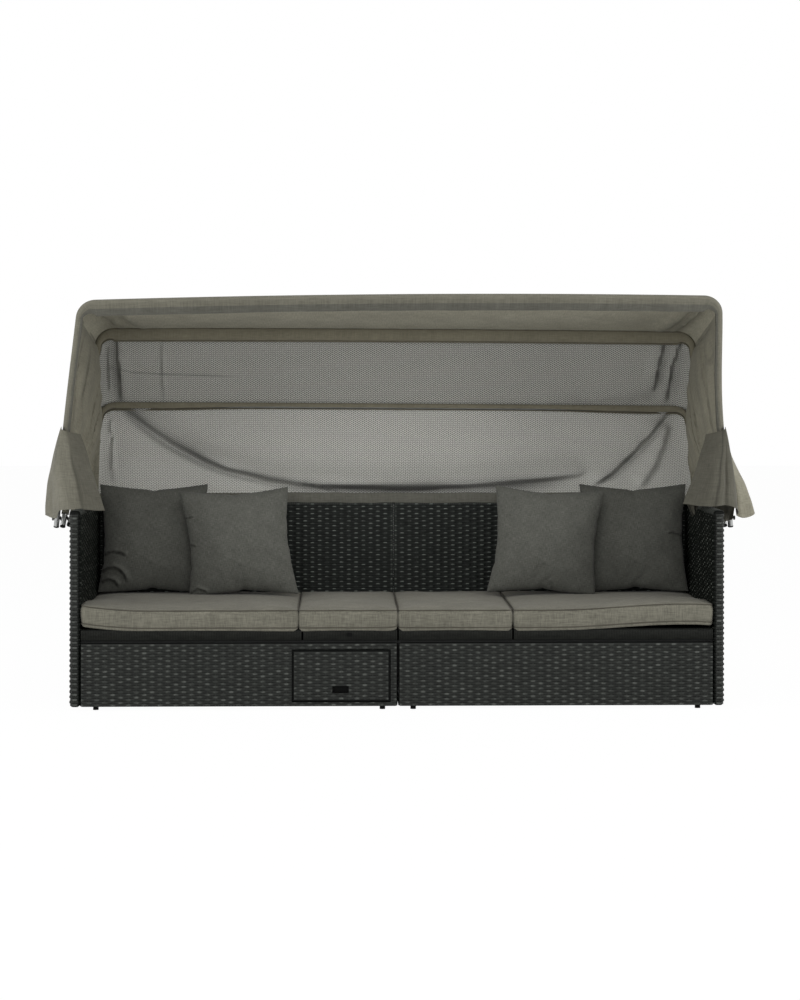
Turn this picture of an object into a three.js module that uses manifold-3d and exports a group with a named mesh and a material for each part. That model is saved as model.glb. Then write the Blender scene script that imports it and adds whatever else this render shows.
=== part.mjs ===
// Outdoor daybed with a folding canopy, in millimetres with +Z up.
// It is drawn with y = 0 at the front of the arms and y growing towards the back,
// and the finished group is then moved so that its origin is under the middle of the whole object.

import * as THREE from "three";
import Module from "manifold-3d";
import { mergeVertices } from "three/addons/utils/BufferGeometryUtils.js";

const wasm = await Module();
wasm.setup();

// Overall sizes of the two seat modules
const overallWidth = 2330;
const baseDepth = 700;
const armHeight = 708;
const armThickness = 33;
const backThickness = 36;
const floorClearance = 13;
const fitGap = 0.3;
const panelGap = 2;
const moduleGap = 3;
const wickerRadius = 9;
const panelCorner = 0.3;
const overrun = 20;

// Steel tube frame inside each module
const railSize = 18;
const railTop = 247;

// Woven front panels
const frontPanelInset = 3;
const frontPanelThickness = 22;
const frontPanelTop = 240;

// Seat frames with woven decks, split along the width
const firstSplitX = -341;
const secondSplitX = 0;
const thirdSplitX = 411;
const seatFrameHeight = 40;
const seatFrameInset = 5;
const seatFrameBackGap = 9;
const seatFrameWall = 26;
const seatFrameGap = 3;
const deckThickness = 9;

// Finger tab on the lift-off section
const tabWidth = 18;
const tabHeight = 14;
const tabThickness = 3;
const tabX = -173;
const tabDrop = 11;

// Seat cushions
const cushionEdgeHeight = 70;
const cushionCrown = 12;
const cushionCorner = 34;
const cushionRim = 11;
const cushionDrawIn = 5;
const cushionGap = 4;
const cushionFrontInset = 2;
const cushionBackGap = 6;
const cushionSplitShift = -14;
const curlHeight = 24;
const curlLength = 95;
const curlFadeStart = 120;
const curlFadeEnd = 430;

// Scatter pillows
const pillowWidth = 425;
const pillowHeight = 418;
const pillowThickness = 118;
const pillowSeam = 4;
const pillowPinch = 17;
const pillowArmGap = 0.7;
const pillowLift = 0.7;
const rearPillowForward = 86;
const frontPillowForward = 175;
const frontPillowGap = 1;
const rightPillowShift = 12;
const rearPillowLean = 12;
const frontPillowLean = 13;
const leftPillowSlump = 18;
const rightPillowSlump = 26;

// Drawer under the lift-off section
const drawerX = -202.5;
const drawerWidth = 345;
const drawerBottom = 32.5;
const drawerTop = 213;
const drawerGap = 3;
const drawerFrontThickness = 20;
const drawerBoxWidth = 300;
const drawerRearGap = 92.4;
const drawerBoxHeight = 140;
const drawerBoxFloor = 45;
const drawerWall = 8;
const runnerWidth = 12;
const runnerHeight = 18;
const runnerBottom = 98;

// Finger recess in the drawer front
const recessX = -205;
const recessWidth = 60;
const recessHeight = 27;
const recessBottom = 60;
const recessDepth = 16;
const recessWall = 1.6;

// Glides
const glideRadius = 10;
const glideInset = 55;

// Clips that join the modules
const clipThickness = 3;
const clipLength = 40;
const clipHeight = 14;
const clipFrontY = 180;
const clipRearForward = 144;

// Canopy bows: round tube hoops that turn on one axis outside each arm
const pivotForward = 250;
const pivotDrop = 53;
const tubeRadius = 10;
const tubeWall = 1.5;
const bowStandoff = 50;
const bowPitch = 26;
const bowNest = 23;
const bowCorner = 60;
const bowEndPast = 32;
const bowSway = 16;
const frontBowPast = 13;
const frontBowForward = 200;
const frontBowRise = 810;
const frontBowArch = 13;
const middleBowBack = 350;
const middleBowRise = 701;
const middleBowArch = 4;
const rearBowBack = 445;
const rearBowRise = 411;
const rearBowArch = 2;
const plugLip = 3;
const plugStem = 14;
const bowCornerSteps = 4;
const bowBarSteps = 6;
const tubeSides = 8;

// Pivot bracket and bolt on each arm
const bracketWidth = 52;
const bracketHeight = 96;
const bracketThickness = 4;
const bossRadius = 13;
const boltRadius = 4;
const boltHeadRadius = 8;
const boltHeadLength = 6;
const spacerRadius = 8;
const spacerWidth = 3;
const bowFaceGap = 2.4;

// Canopy cloth
const clothThickness = 2.4;
const clothClear = 12.6;
const sleeveHalf = 13;
const sleeveWall = 2.4;
const sleeveDrop = 48;
const sleeveLegDrop = 12;
const sleeveEndReach = 362;
const roofSag = 16;
const meshSag = 22;
const foldDepth = 26;
const hemHeight = 35;
const hemOverlap = 7;
const meshFootInset = 5;
const meshFootRise = 8;
const meshFootBack = 34;
const sideFootRise = 4;
const sideWrinkle = 5;

// Skirts that hang over the pivots: places past the arm's outside, back from the pivot and up from it
const skirtReach = 169;
const skirtTopInner = [7, -79, 317];
const skirtTopFront = [68, -114, 333];
const skirtTopOuter = [82.8, -80, 343];
const skirtTopSide = [103, 20, 275];
const skirtTopRear = [97, 140, 181];
const skirtFootInner = [-103, -298, 55];
const skirtFootFront = [-15, -322, 55];
const skirtFootOuter = [123, -250, 39];
const skirtFootSide = [skirtReach, -100, 25];
const skirtFootRear = [137, 110, 29];
const skirtRipple = 7;

// Values that follow from the sizes above
const innerHalf = overallWidth / 2 - armThickness;
const backFaceY = baseDepth - backThickness;
const frontPanelBack = frontPanelInset + frontPanelThickness;
const frameFrontY = frontPanelBack + fitGap;
const frameRearY = backFaceY - fitGap;
const seatFrameBottom = railTop + fitGap;
const seatFrameTop = seatFrameBottom + seatFrameHeight;
const seatFrameRearY = backFaceY - seatFrameBackGap;
const cushionBottom = seatFrameTop + fitGap;
const cushionRearY = backFaceY - cushionBackGap;
const cushionTop = cushionBottom + cushionEdgeHeight + cushionCrown;
const pivotY = baseDepth - pivotForward;
const pivotZ = armHeight - pivotDrop;
const frontBowTopX = overallWidth / 2 + frontBowPast;
const meshFootX = overallWidth / 2 - meshFootInset;
const meshFootY = backFaceY + meshFootBack;
const meshFootZ = armHeight + meshFootRise;
const radians = Math.PI / 180;

const colours = {
  wicker: 0x2c2f2a,
  steel: 0x1d1f1e,
  cushion: 0x6f6c63,
  pillow: 0x494a45,
  canopy: 0x6a6859,
  mesh: 0x7c7d7c,
  tube: 0xb4b5b3,
  plastic: 0x151614,
};
const materials = {
  wicker: { color: colours.wicker, roughness: 0.6, metalness: 0 },
  steel: { color: colours.steel, roughness: 0.5, metalness: 0.6 },
  cushion: { color: colours.cushion, roughness: 0.95, metalness: 0 },
  pillow: { color: colours.pillow, roughness: 0.95, metalness: 0 },
  canopy: { color: colours.canopy, roughness: 0.9, metalness: 0 },
  mesh: { color: colours.mesh, roughness: 0.9, metalness: 0 },
  tube: { color: colours.tube, roughness: 0.35, metalness: 0.9 },
  plastic: { color: colours.plastic, roughness: 0.6, metalness: 0 },
};

const daybed = new THREE.Group();

function addPart(name, geometry, finish) {
  const mesh = new THREE.Mesh(geometry, new THREE.MeshStandardMaterial(materials[finish]));
  mesh.name = name;
  daybed.add(mesh);
  return mesh;
}

function sideName(side) {
  return side < 0 ? "left" : "right";
}

// Solids and booleans

function bare(geometry) {
  const copy = geometry.clone();
  copy.deleteAttribute("normal");
  copy.deleteAttribute("uv");
  return mergeVertices(copy);
}

function toManifold(geometry) {
  const merged = bare(geometry);
  const vertProperties = new Float32Array(merged.attributes.position.array);
  const triVerts = new Uint32Array(merged.index.array);
  return new wasm.Manifold(new wasm.Mesh({ numProp: 3, vertProperties, triVerts }));
}

function fromManifold(manifold) {
  const mesh = manifold.getMesh();
  const geometry = new THREE.BufferGeometry();
  geometry.setAttribute("position", new THREE.BufferAttribute(new Float32Array(mesh.vertProperties), 3));
  geometry.setIndex(new THREE.BufferAttribute(new Uint32Array(mesh.triVerts), 1));
  return geometry;
}

function joined(...pieces) {
  return fromManifold(pieces.map(toManifold).reduce((sum, piece) => sum.add(piece)));
}

function cut(geometry, ...cutters) {
  return fromManifold(cutters.map(toManifold).reduce((rest, tool) => rest.subtract(tool), toManifold(geometry)));
}

function block(x0, x1, y0, y1, z0, z1) {
  const geometry = new THREE.BoxGeometry(x1 - x0, y1 - y0, z1 - z0);
  return geometry.translate((x0 + x1) / 2, (y0 + y1) / 2, (z0 + z1) / 2);
}

function roundedRectangle(x0, x1, y0, y1, radius) {
  const shape = new THREE.Shape();
  shape.moveTo(x0 + radius, y0);
  shape.lineTo(x1 - radius, y0);
  shape.absarc(x1 - radius, y0 + radius, radius, -Math.PI / 2, 0);
  shape.lineTo(x1, y1 - radius);
  shape.absarc(x1 - radius, y1 - radius, radius, 0, Math.PI / 2);
  shape.lineTo(x0 + radius, y1);
  shape.absarc(x0 + radius, y1 - radius, radius, Math.PI / 2, Math.PI);
  shape.lineTo(x0, y0 + radius);
  shape.absarc(x0 + radius, y0 + radius, radius, Math.PI, Math.PI * 1.5);
  return shape;
}

// A woven panel lies across the depth or the width, and all its long edges are round
function wovenPanel(x0, x1, y0, y1, z0, z1) {
  const along = x1 - x0 > y1 - y0;
  const [u0, u1] = along ? [x0, x1] : [y0, y1];
  const [v0, v1] = along ? [y0, y1] : [x0, x1];
  const shape = roundedRectangle(u0 + wickerRadius, u1 - wickerRadius, z0 + wickerRadius, z1 - wickerRadius, panelCorner);
  const geometry = new THREE.ExtrudeGeometry(shape, {
    depth: v1 - v0 - 2 * wickerRadius,
    curveSegments: 1,
    bevelThickness: wickerRadius,
    bevelSize: wickerRadius,
    bevelSegments: 3,
  });
  geometry.translate(0, 0, v0 + wickerRadius);
  const turn = new THREE.Matrix4();
  if (along) turn.set(1, 0, 0, 0, 0, 0, 1, 0, 0, 1, 0, 0, 0, 0, 0, 1);
  else turn.set(0, 0, 1, 0, 1, 0, 0, 0, 0, 1, 0, 0, 0, 0, 0, 1);
  return outward(geometry.applyMatrix4(turn));
}

function signedVolume(geometry) {
  const merged = bare(geometry);
  const position = merged.attributes.position;
  const index = merged.index;
  const corners = [new THREE.Vector3(), new THREE.Vector3(), new THREE.Vector3()];
  let sum = 0;
  for (let i = 0; i < index.count; i += 3) {
    corners.forEach((corner, k) => corner.fromBufferAttribute(position, index.getX(i + k)));
    sum += corners[0].dot(corners[1].clone().cross(corners[2])) / 6;
  }
  return sum;
}

// Returns the solid with its faces pointing out
function outward(geometry) {
  const merged = bare(geometry);
  if (signedVolume(merged) > 0) return merged;
  const index = Array.from(merged.index.array);
  for (let i = 0; i < index.length; i += 3) {
    [index[i], index[i + 1]] = [index[i + 1], index[i]];
  }
  merged.setIndex(index);
  return merged;
}

function indexedSolid(points, triangles) {
  const geometry = new THREE.BufferGeometry();
  geometry.setAttribute("position", new THREE.Float32BufferAttribute(points.flatMap((p) => [p.x, p.y, p.z]), 3));
  geometry.setIndex(triangles);
  return outward(geometry);
}

// Joins rings of equally many points into one skin and closes both ends with fans
function ringSolid(rings, firstCentre, lastCentre) {
  const count = rings[0].length;
  const points = rings.flat().concat([firstCentre, lastCentre]);
  const triangles = [];
  for (let r = 0; r + 1 < rings.length; r += 1) {
    for (let i = 0; i < count; i += 1) {
      const a = r * count + i;
      const b = r * count + ((i + 1) % count);
      triangles.push(a, b, a + count, b, b + count, a + count);
    }
  }
  const first = rings.length * count;
  const top = first - count;
  for (let i = 0; i < count; i += 1) {
    const next = (i + 1) % count;
    triangles.push(next, i, first, top + i, top + next, first + 1);
  }
  return indexedSolid(points, triangles);
}

// Sweeps one closed section outline, given ring by ring, and closes its ends with the section itself
function sectionSolid(rings) {
  const count = rings[0].length;
  const points = rings.flat();
  const triangles = [];
  for (let r = 0; r + 1 < rings.length; r += 1) {
    for (let i = 0; i < count; i += 1) {
      const a = r * count + i;
      const b = r * count + ((i + 1) % count);
      triangles.push(a, b, a + count, b, b + count, a + count);
    }
  }
  const half = count / 2;
  const last = (rings.length - 1) * count;
  for (let i = 0; i + 1 < half; i += 1) {
    const a = i;
    const b = i + 1;
    const c = count - 1 - i;
    const d = count - 2 - i;
    triangles.push(b, a, c, b, c, d, last + a, last + b, last + c, last + b, last + d, last + c);
  }
  return indexedSolid(points, triangles);
}

// Makes a sheet of even thickness from a grid of points on its middle surface
function sheetSolid(grid, thickness) {
  const columns = grid.length;
  const rows = grid[0].length;
  const upper = [];
  const lower = [];
  for (let i = 0; i < columns; i += 1) {
    for (let j = 0; j < rows; j += 1) {
      const across = grid[Math.min(i + 1, columns - 1)][j].clone().sub(grid[Math.max(i - 1, 0)][j]);
      const along = grid[i][Math.min(j + 1, rows - 1)].clone().sub(grid[i][Math.max(j - 1, 0)]);
      const normal = across.cross(along).normalize().multiplyScalar(thickness / 2);
      upper.push(grid[i][j].clone().add(normal));
      lower.push(grid[i][j].clone().sub(normal));
    }
  }
  return shellSolid(upper, lower, columns, rows);
}

// Closes two grids of points, face to face, with strips along their four edges
function shellSolid(upper, lower, columns, rows) {
  const far = upper.length;
  const at = (i, j) => i * rows + j;
  const triangles = [];
  for (let i = 0; i + 1 < columns; i += 1) {
    for (let j = 0; j + 1 < rows; j += 1) {
      const [a, b, c, d] = [at(i, j), at(i + 1, j), at(i + 1, j + 1), at(i, j + 1)];
      triangles.push(a, b, c, a, c, d);
      triangles.push(far + a, far + c, far + b, far + a, far + d, far + c);
    }
  }
  const rim = [];
  for (let i = 0; i + 1 < columns; i += 1) rim.push(at(i, 0));
  for (let j = 0; j + 1 < rows; j += 1) rim.push(at(columns - 1, j));
  for (let i = columns - 1; i > 0; i -= 1) rim.push(at(i, rows - 1));
  for (let j = rows - 1; j > 0; j -= 1) rim.push(at(0, j));
  rim.forEach((a, k) => {
    const b = rim[(k + 1) % rim.length];
    triangles.push(b, a, far + a, b, far + a, far + b);
  });
  return indexedSolid(upper.concat(lower), triangles);
}

function cylinderX(radius, x0, x1, y, z, segments) {
  const geometry = new THREE.CylinderGeometry(radius, radius, x1 - x0, segments);
  return geometry.rotateZ(Math.PI / 2).translate((x0 + x1) / 2, y, z);
}

// Steel frames

function railLoop(x0, x1, z0) {
  const z1 = z0 + railSize;
  return [
    block(x0, x1, frameFrontY, frameFrontY + railSize, z0, z1),
    block(x0, x1, frameRearY - railSize, frameRearY, z0, z1),
    block(x0, x0 + railSize, frameFrontY, frameRearY, z0, z1),
    block(x1 - railSize, x1, frameFrontY, frameRearY, z0, z1),
  ];
}

function upright(x0, y0) {
  return block(x0, x0 + railSize, y0, y0 + railSize, floorClearance, railTop);
}

function uprightPair(x0) {
  return [upright(x0, frameFrontY), upright(x0, frameRearY - railSize)];
}

function crossRail(centreX) {
  const half = railSize / 2;
  return block(centreX - half, centreX + half, frameFrontY, frameRearY, railTop - railSize, railTop);
}

const drawerBoxLeft = drawerX - drawerBoxWidth / 2;
const drawerBoxRight = drawerX + drawerBoxWidth / 2;
const runnerLeftX = drawerBoxLeft - fitGap - runnerWidth;
const runnerRightX = drawerBoxRight + fitGap;

function drawerRail(x0) {
  const z0 = runnerBottom;
  return [block(x0, x0 + railSize, frameFrontY, frameRearY, z0, z0 + runnerHeight), ...uprightPair(x0)];
}

function addBaseFrame(side) {
  const near = moduleGap / 2;
  const far = innerHalf - fitGap;
  const [x0, x1] = side < 0 ? [-far, -near] : [near, far];
  const pieces = [
    ...railLoop(x0, x1, floorClearance),
    ...railLoop(x0, x1, railTop - railSize),
    ...uprightPair(x0),
    ...uprightPair(x1 - railSize),
    crossRail(side < 0 ? firstSplitX : thirdSplitX),
  ];
  if (side < 0) {
    pieces.push(...drawerRail(runnerLeftX - fitGap - railSize));
    pieces.push(...drawerRail(runnerRightX + runnerWidth + fitGap));
  }
  addPart(`base_frame_${sideName(side)}`, joined(...pieces), "steel");
}

// Glides under the lower rails

function addGlides() {
  const rows = { front: frameFrontY + railSize / 2, rear: frameRearY - railSize / 2 };
  for (const [row, y] of Object.entries(rows)) {
    for (const side of [-1, 1]) {
      for (const [place, x] of [["inner", glideInset], ["outer", innerHalf - glideInset]]) {
        const height = floorClearance - fitGap;
        const disc = new THREE.CylinderGeometry(glideRadius, glideRadius, height, 16);
        disc.rotateX(Math.PI / 2).translate(side * x, y, height / 2);
        addPart(`glide_${row}_${sideName(side)}_${place}`, disc, "plastic");
      }
    }
  }
}

// Clips over the two inner lower rails

function addClip(name, y) {
  const half = moduleGap / 2 + railSize + fitGap;
  const top = floorClearance + railSize + fitGap;
  const outer = half + clipThickness;
  const body = block(-outer, outer, y, y + clipLength, top - clipHeight, top + clipThickness);
  const slot = block(-half, half, y - overrun, y + clipLength + overrun, top - clipHeight - overrun, top);
  addPart(name, cut(body, slot), "plastic");
}

// Woven panels

function addFrontPanel(side) {
  const near = moduleGap / 2;
  const far = innerHalf - panelGap;
  const [x0, x1] = side < 0 ? [-far, -near] : [near, far];
  let panel = wovenPanel(x0, x1, frontPanelInset, frontPanelBack, floorClearance, frontPanelTop);
  if (side < 0) {
    const half = drawerWidth / 2 + drawerGap;
    const low = drawerBottom - drawerGap;
    const opening = block(drawerX - half, drawerX + half, -overrun, frontPanelBack + overrun, low, drawerTop + drawerGap);
    panel = cut(panel, opening);
  }
  addPart(`front_panel_${sideName(side)}`, panel, "wicker");
}

function addBackPanel(side) {
  const near = moduleGap / 2;
  const far = innerHalf - panelGap;
  const [x0, x1] = side < 0 ? [-far, -near] : [near, far];
  addPart(`back_panel_${sideName(side)}`, wovenPanel(x0, x1, backFaceY, baseDepth, floorClearance, armHeight), "wicker");
}

function addArm(side) {
  const far = overallWidth / 2;
  const [x0, x1] = side < 0 ? [-far, -innerHalf] : [innerHalf, far];
  addPart(`arm_${sideName(side)}`, wovenPanel(x0, x1, 0, baseDepth, floorClearance, armHeight), "wicker");
}

// Seat frames: a wrapped rim round a woven deck, open below

const seatEdges = [-innerHalf + panelGap, firstSplitX, secondSplitX, thirdSplitX, innerHalf - panelGap];

function addSeatFrame(index) {
  const half = seatFrameGap / 2;
  const x0 = seatEdges[index] + (index === 0 ? 0 : half);
  const x1 = seatEdges[index + 1] - (index === 3 ? 0 : half);
  const outline = roundedRectangle(x0, x1, seatFrameInset, seatFrameRearY, wickerRadius);
  const slab = new THREE.ExtrudeGeometry(outline, { depth: seatFrameHeight, curveSegments: 3, bevelEnabled: false });
  slab.translate(0, 0, seatFrameBottom);
  const wall = seatFrameWall;
  const underside = block(
    x0 + wall, x1 - wall, seatFrameInset + wall, seatFrameRearY - wall,
    seatFrameBottom - overrun, seatFrameTop - deckThickness,
  );
  addPart(`seat_frame_${index + 1}`, cut(slab, underside), "wicker");
}

function addTab() {
  const rear = seatFrameInset - fitGap;
  const top = seatFrameTop - tabDrop;
  const outline = roundedRectangle(tabX - tabWidth / 2, tabX + tabWidth / 2, top - tabHeight, top, tabThickness);
  const tongue = new THREE.ExtrudeGeometry(outline, { depth: tabThickness, curveSegments: 3, bevelEnabled: false });
  tongue.rotateX(Math.PI / 2).translate(0, rear, 0);
  addPart("lid_tab", outward(tongue), "plastic");
}

// Seat cushions: rings from the flat underside round the drawn-in border to the crowned top

const cushionEdges = [
  -innerHalf + panelGap, firstSplitX + cushionSplitShift, secondSplitX, thirdSplitX, innerHalf - panelGap,
];
const cushionInsetShares = [1, 0.25, 0, 0.5, 0.5, 0, 0.3, 1, 3.4, 8.5, 16];
const cushionRiseShares = [0, 0.05, 0.14, 0.34, 0.66, 0.86, 0.96, 1, 1, 1, 1];
const cushionCrownShares = [0, 0, 0, 0, 0, 0, 0, 0.12, 0.46, 0.8, 1];

function roundedRing(x0, x1, y0, y1, radius, z) {
  const steps = 4;
  const runs = 3;
  const points = [];
  const corners = [[x1, y0, -1, 1, -90], [x1, y1, -1, -1, 0], [x0, y1, 1, -1, 90], [x0, y0, 1, 1, 180]];
  corners.forEach(([x, y, inX, inY, start], k) => {
    for (let i = 0; i <= steps; i += 1) {
      const angle = (start + (90 * i) / steps) * radians;
      const centreX = x + inX * radius;
      const centreY = y + inY * radius;
      points.push(new THREE.Vector3(centreX + radius * Math.cos(angle), centreY + radius * Math.sin(angle), z));
    }
    const [nextX, nextY, nextInX, nextInY] = corners[(k + 1) % 4];
    const from = points[points.length - 1];
    const nextAngle = (corners[(k + 1) % 4][4]) * radians;
    const to = new THREE.Vector3(
      nextX + nextInX * radius + radius * Math.cos(nextAngle),
      nextY + nextInY * radius + radius * Math.sin(nextAngle), z,
    );
    for (let i = 1; i < runs; i += 1) points.push(from.clone().lerp(to, i / runs));
  });
  return points;
}

function curl(point, index) {
  if (index !== 0 && index !== 3) return point;
  const end = innerHalf - panelGap;
  const share = Math.max(0, (Math.abs(point.x) - end + curlLength) / curlLength);
  const fade = 1 - THREE.MathUtils.smoothstep(point.y, curlFadeStart, curlFadeEnd);
  point.z += curlHeight * share * share * fade;
  return point;
}

function addCushion(index) {
  const half = cushionGap / 2;
  const x0 = cushionEdges[index] + half;
  const x1 = cushionEdges[index + 1] - half;
  const y0 = cushionFrontInset;
  const y1 = cushionRearY;
  const rings = cushionInsetShares.map((insetShare, k) => {
    const side = k === 3 || k === 4;
    const inset = insetShare * (side ? 2 * cushionDrawIn : cushionRim);
    const z = cushionBottom + cushionEdgeHeight * cushionRiseShares[k] + cushionCrown * cushionCrownShares[k];
    const radius = Math.max(cushionCorner - inset * 0.5, cushionCorner * 0.4);
    return roundedRing(x0 + inset, x1 - inset, y0 + inset, y1 - inset, radius, z).map((p) => curl(p, index));
  });
  const middle = new THREE.Vector3((x0 + x1) / 2, (y0 + y1) / 2, cushionBottom);
  const crown = middle.clone().setZ(cushionTop);
  addPart(`cushion_${index + 1}`, ringSolid(rings, middle, crown), "cushion");
}

// Scatter pillows: two swelling faces that meet at a seam with pulled-out corners

function pillowSolid(slump) {
  const steps = 10;
  const upper = [];
  const lower = [];
  for (let i = 0; i <= steps; i += 1) {
    for (let j = 0; j <= steps; j += 1) {
      const u = Math.sin(((i / steps) * 2 - 1) * Math.PI / 2);
      const v = Math.sin(((j / steps) * 2 - 1) * Math.PI / 2);
      const x = u * (pillowWidth / 2 - pillowPinch * (1 - v * v)) + slump * v;
      const z = v * (pillowHeight / 2 - pillowPinch * (1 - u * u));
      const swell = ((1 - u * u) * (1 - v * v)) ** 0.62;
      const y = pillowSeam / 2 + (pillowThickness / 2 - pillowSeam / 2) * swell;
      upper.push(new THREE.Vector3(x, -y, z));
      lower.push(new THREE.Vector3(x, y, z));
    }
  }
  return shellSolid(upper, lower, steps + 1, steps + 1);
}

function addPillow(name, x, y, lean, slump) {
  const mesh = addPart(name, pillowSolid(slump), "pillow");
  const angle = lean * radians;
  mesh.rotation.x = -angle;
  mesh.position.set(x, y, cushionTop + pillowLift + (pillowHeight / 2) * Math.cos(angle));
}

// Drawer, its runners and its finger recess

function addDrawer() {
  const x0 = drawerX - drawerWidth / 2;
  const x1 = drawerX + drawerWidth / 2;
  const frontY = frontPanelInset;
  const rearY = frontY + drawerFrontThickness;
  const recessX0 = recessX - recessWidth / 2;
  const recessX1 = recessX + recessWidth / 2;
  const recessTop = recessBottom + recessHeight;
  const pocket = block(recessX0, recessX1, frontY - overrun, frontY + recessDepth, recessBottom, recessTop);
  const slab = block(x0, x1, frontY, rearY, drawerBottom, drawerTop);
  addPart("drawer_front", cut(slab, pocket), "wicker");

  const boxFrontY = rearY + fitGap;
  const boxRearY = frameRearY - railSize - drawerRearGap;
  const boxTop = drawerBoxFloor + drawerBoxHeight;
  const shell = block(drawerBoxLeft, drawerBoxRight, boxFrontY, boxRearY, drawerBoxFloor, boxTop);
  const hollow = block(
    drawerBoxLeft + drawerWall, drawerBoxRight - drawerWall,
    boxFrontY + drawerWall, boxRearY - drawerWall,
    drawerBoxFloor + drawerWall, boxTop + overrun,
  );
  addPart("drawer_box", cut(shell, hollow), "plastic");

  const gap = fitGap;
  const cup = block(recessX0 + gap, recessX1 - gap, frontY, frontY + recessDepth - gap, recessBottom + gap, recessTop - gap);
  const inset = gap + recessWall;
  const cupHollow = block(
    recessX0 + inset, recessX1 - inset,
    frontY - overrun, frontY + recessDepth - inset,
    recessBottom + inset, recessTop - inset,
  );
  addPart("drawer_pull", cut(cup, cupHollow), "plastic");

  for (const [name, runnerX] of [["runner_left", runnerLeftX], ["runner_right", runnerRightX]]) {
    const runner = block(
      runnerX, runnerX + runnerWidth, frameFrontY, frameRearY - railSize - fitGap,
      runnerBottom, runnerBottom + runnerHeight,
    );
    addPart(name, runner, "steel");
  }
}

// Canopy bows

function bowFrom(name, pivotX, topX, back, rise, arch) {
  const reach = Math.hypot(back, rise);
  const lean = Math.atan2(back, rise);
  let start = 0;
  for (let pass = 0; pass < 6; pass += 1) {
    const x = topX - bowCorner + bowCorner * Math.cos(start);
    const q = reach - bowCorner + bowCorner * Math.sin(start);
    start = Math.atan2(pivotX - x, q);
  }
  return { name, pivotX, topX, reach, lean, arch, start };
}

const rearPivotX = overallWidth / 2 + bowStandoff;
const frontReach = Math.hypot(frontBowForward, frontBowRise);

// A smaller bow keeps its corner inside the leg of the bow that folds over it
function nestedTopX(outer, back, rise) {
  return legX(outer, Math.hypot(back, rise) - bowCorner) - bowNest;
}

const frontBow = bowFrom(
  "front", rearPivotX + 2 * bowPitch, frontBowTopX, -frontBowForward, frontBowRise, frontBowArch,
);
const middleBow = bowFrom(
  "middle", rearPivotX + bowPitch, nestedTopX(frontBow, middleBowBack, middleBowRise),
  middleBowBack, middleBowRise, middleBowArch,
);
const rearBow = bowFrom(
  "rear", rearPivotX, nestedTopX(middleBow, rearBowBack, rearBowRise), rearBowBack, rearBowRise, rearBowArch,
);
const bows = { front: frontBow, middle: middleBow, rear: rearBow };

function legX(bow, q) {
  return bow.pivotX - q * Math.tan(bow.start);
}

// A point on the bow's centre line: x across, q away from the pivots, with its outward normal
function legPoint(bow, q) {
  return { x: legX(bow, q), q, nx: Math.cos(bow.start), nq: Math.sin(bow.start), turn: 0 };
}

function hoopPoints(bow, cornerSteps, barSteps) {
  const half = [];
  const centreX = bow.topX - bowCorner;
  const centreQ = bow.reach - bowCorner;
  for (let i = 0; i <= cornerSteps; i += 1) {
    const angle = bow.start + ((Math.PI / 2 - bow.start) * i) / cornerSteps;
    const nx = Math.cos(angle);
    const nq = Math.sin(angle);
    half.push({ x: centreX + bowCorner * nx, q: centreQ + bowCorner * nq, nx, nq, turn: i / cornerSteps });
  }
  const bar = [];
  for (let i = 1; i < barSteps; i += 1) {
    const share = 1 - (2 * i) / barSteps;
    bar.push({ x: centreX * share, q: bow.reach + bow.arch * (1 - share * share), nx: 0, nq: 1, turn: 1 });
  }
  const mirrored = half.map((p) => ({ ...p, x: -p.x, nx: -p.nx })).reverse();
  return [...half, ...bar, ...mirrored];
}

function toWorld(bow, point, out, back) {
  const x = point.x + point.nx * out + (bowSway * point.q) / frontReach;
  const q = point.q + point.nq * out;
  const [sin, cos] = [Math.sin(bow.lean), Math.cos(bow.lean)];
  return new THREE.Vector3(x, pivotY + q * sin + back * cos, pivotZ + q * cos - back * sin);
}

function mirroredLeg(point) {
  return { ...point, x: -point.x, nx: -point.nx };
}

function bowPath(bow, lowEnd) {
  const foot = legPoint(bow, lowEnd);
  return [foot, ...hoopPoints(bow, bowCornerSteps, bowBarSteps), mirroredLeg(foot)];
}

function tubeSolid(bow) {
  const sides = tubeSides;
  const circle = (point, radius) => Array.from({ length: sides }, (_, i) => {
    const angle = (2 * Math.PI * (i + 0.5)) / sides;
    return toWorld(bow, point, radius * Math.cos(angle), radius * Math.sin(angle));
  });
  const solidOf = (radius, stretch) => {
    const rings = bowPath(bow, -bowEndPast - stretch).map((point) => circle(point, radius));
    const centre = (ring) => ring.reduce((sum, p) => sum.add(p), new THREE.Vector3()).divideScalar(sides);
    return ringSolid(rings, centre(rings[0]), centre(rings[rings.length - 1]));
  };
  return cut(solidOf(tubeRadius, 0), solidOf(tubeRadius - tubeWall, overrun));
}

function addBow(bow) {
  const hole = boltRadius + fitGap;
  const far = bow.pivotX + overrun;
  const near = bow.pivotX - overrun;
  const tube = cut(
    tubeSolid(bow),
    cylinderX(hole, near, far, pivotY, pivotZ, 12),
    cylinderX(hole, -far, -near, pivotY, pivotZ, 12),
  );
  addPart(`bow_${bow.name}`, tube, "tube");
  for (const side of [-1, 1]) addPlug(bow, side);
}

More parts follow.
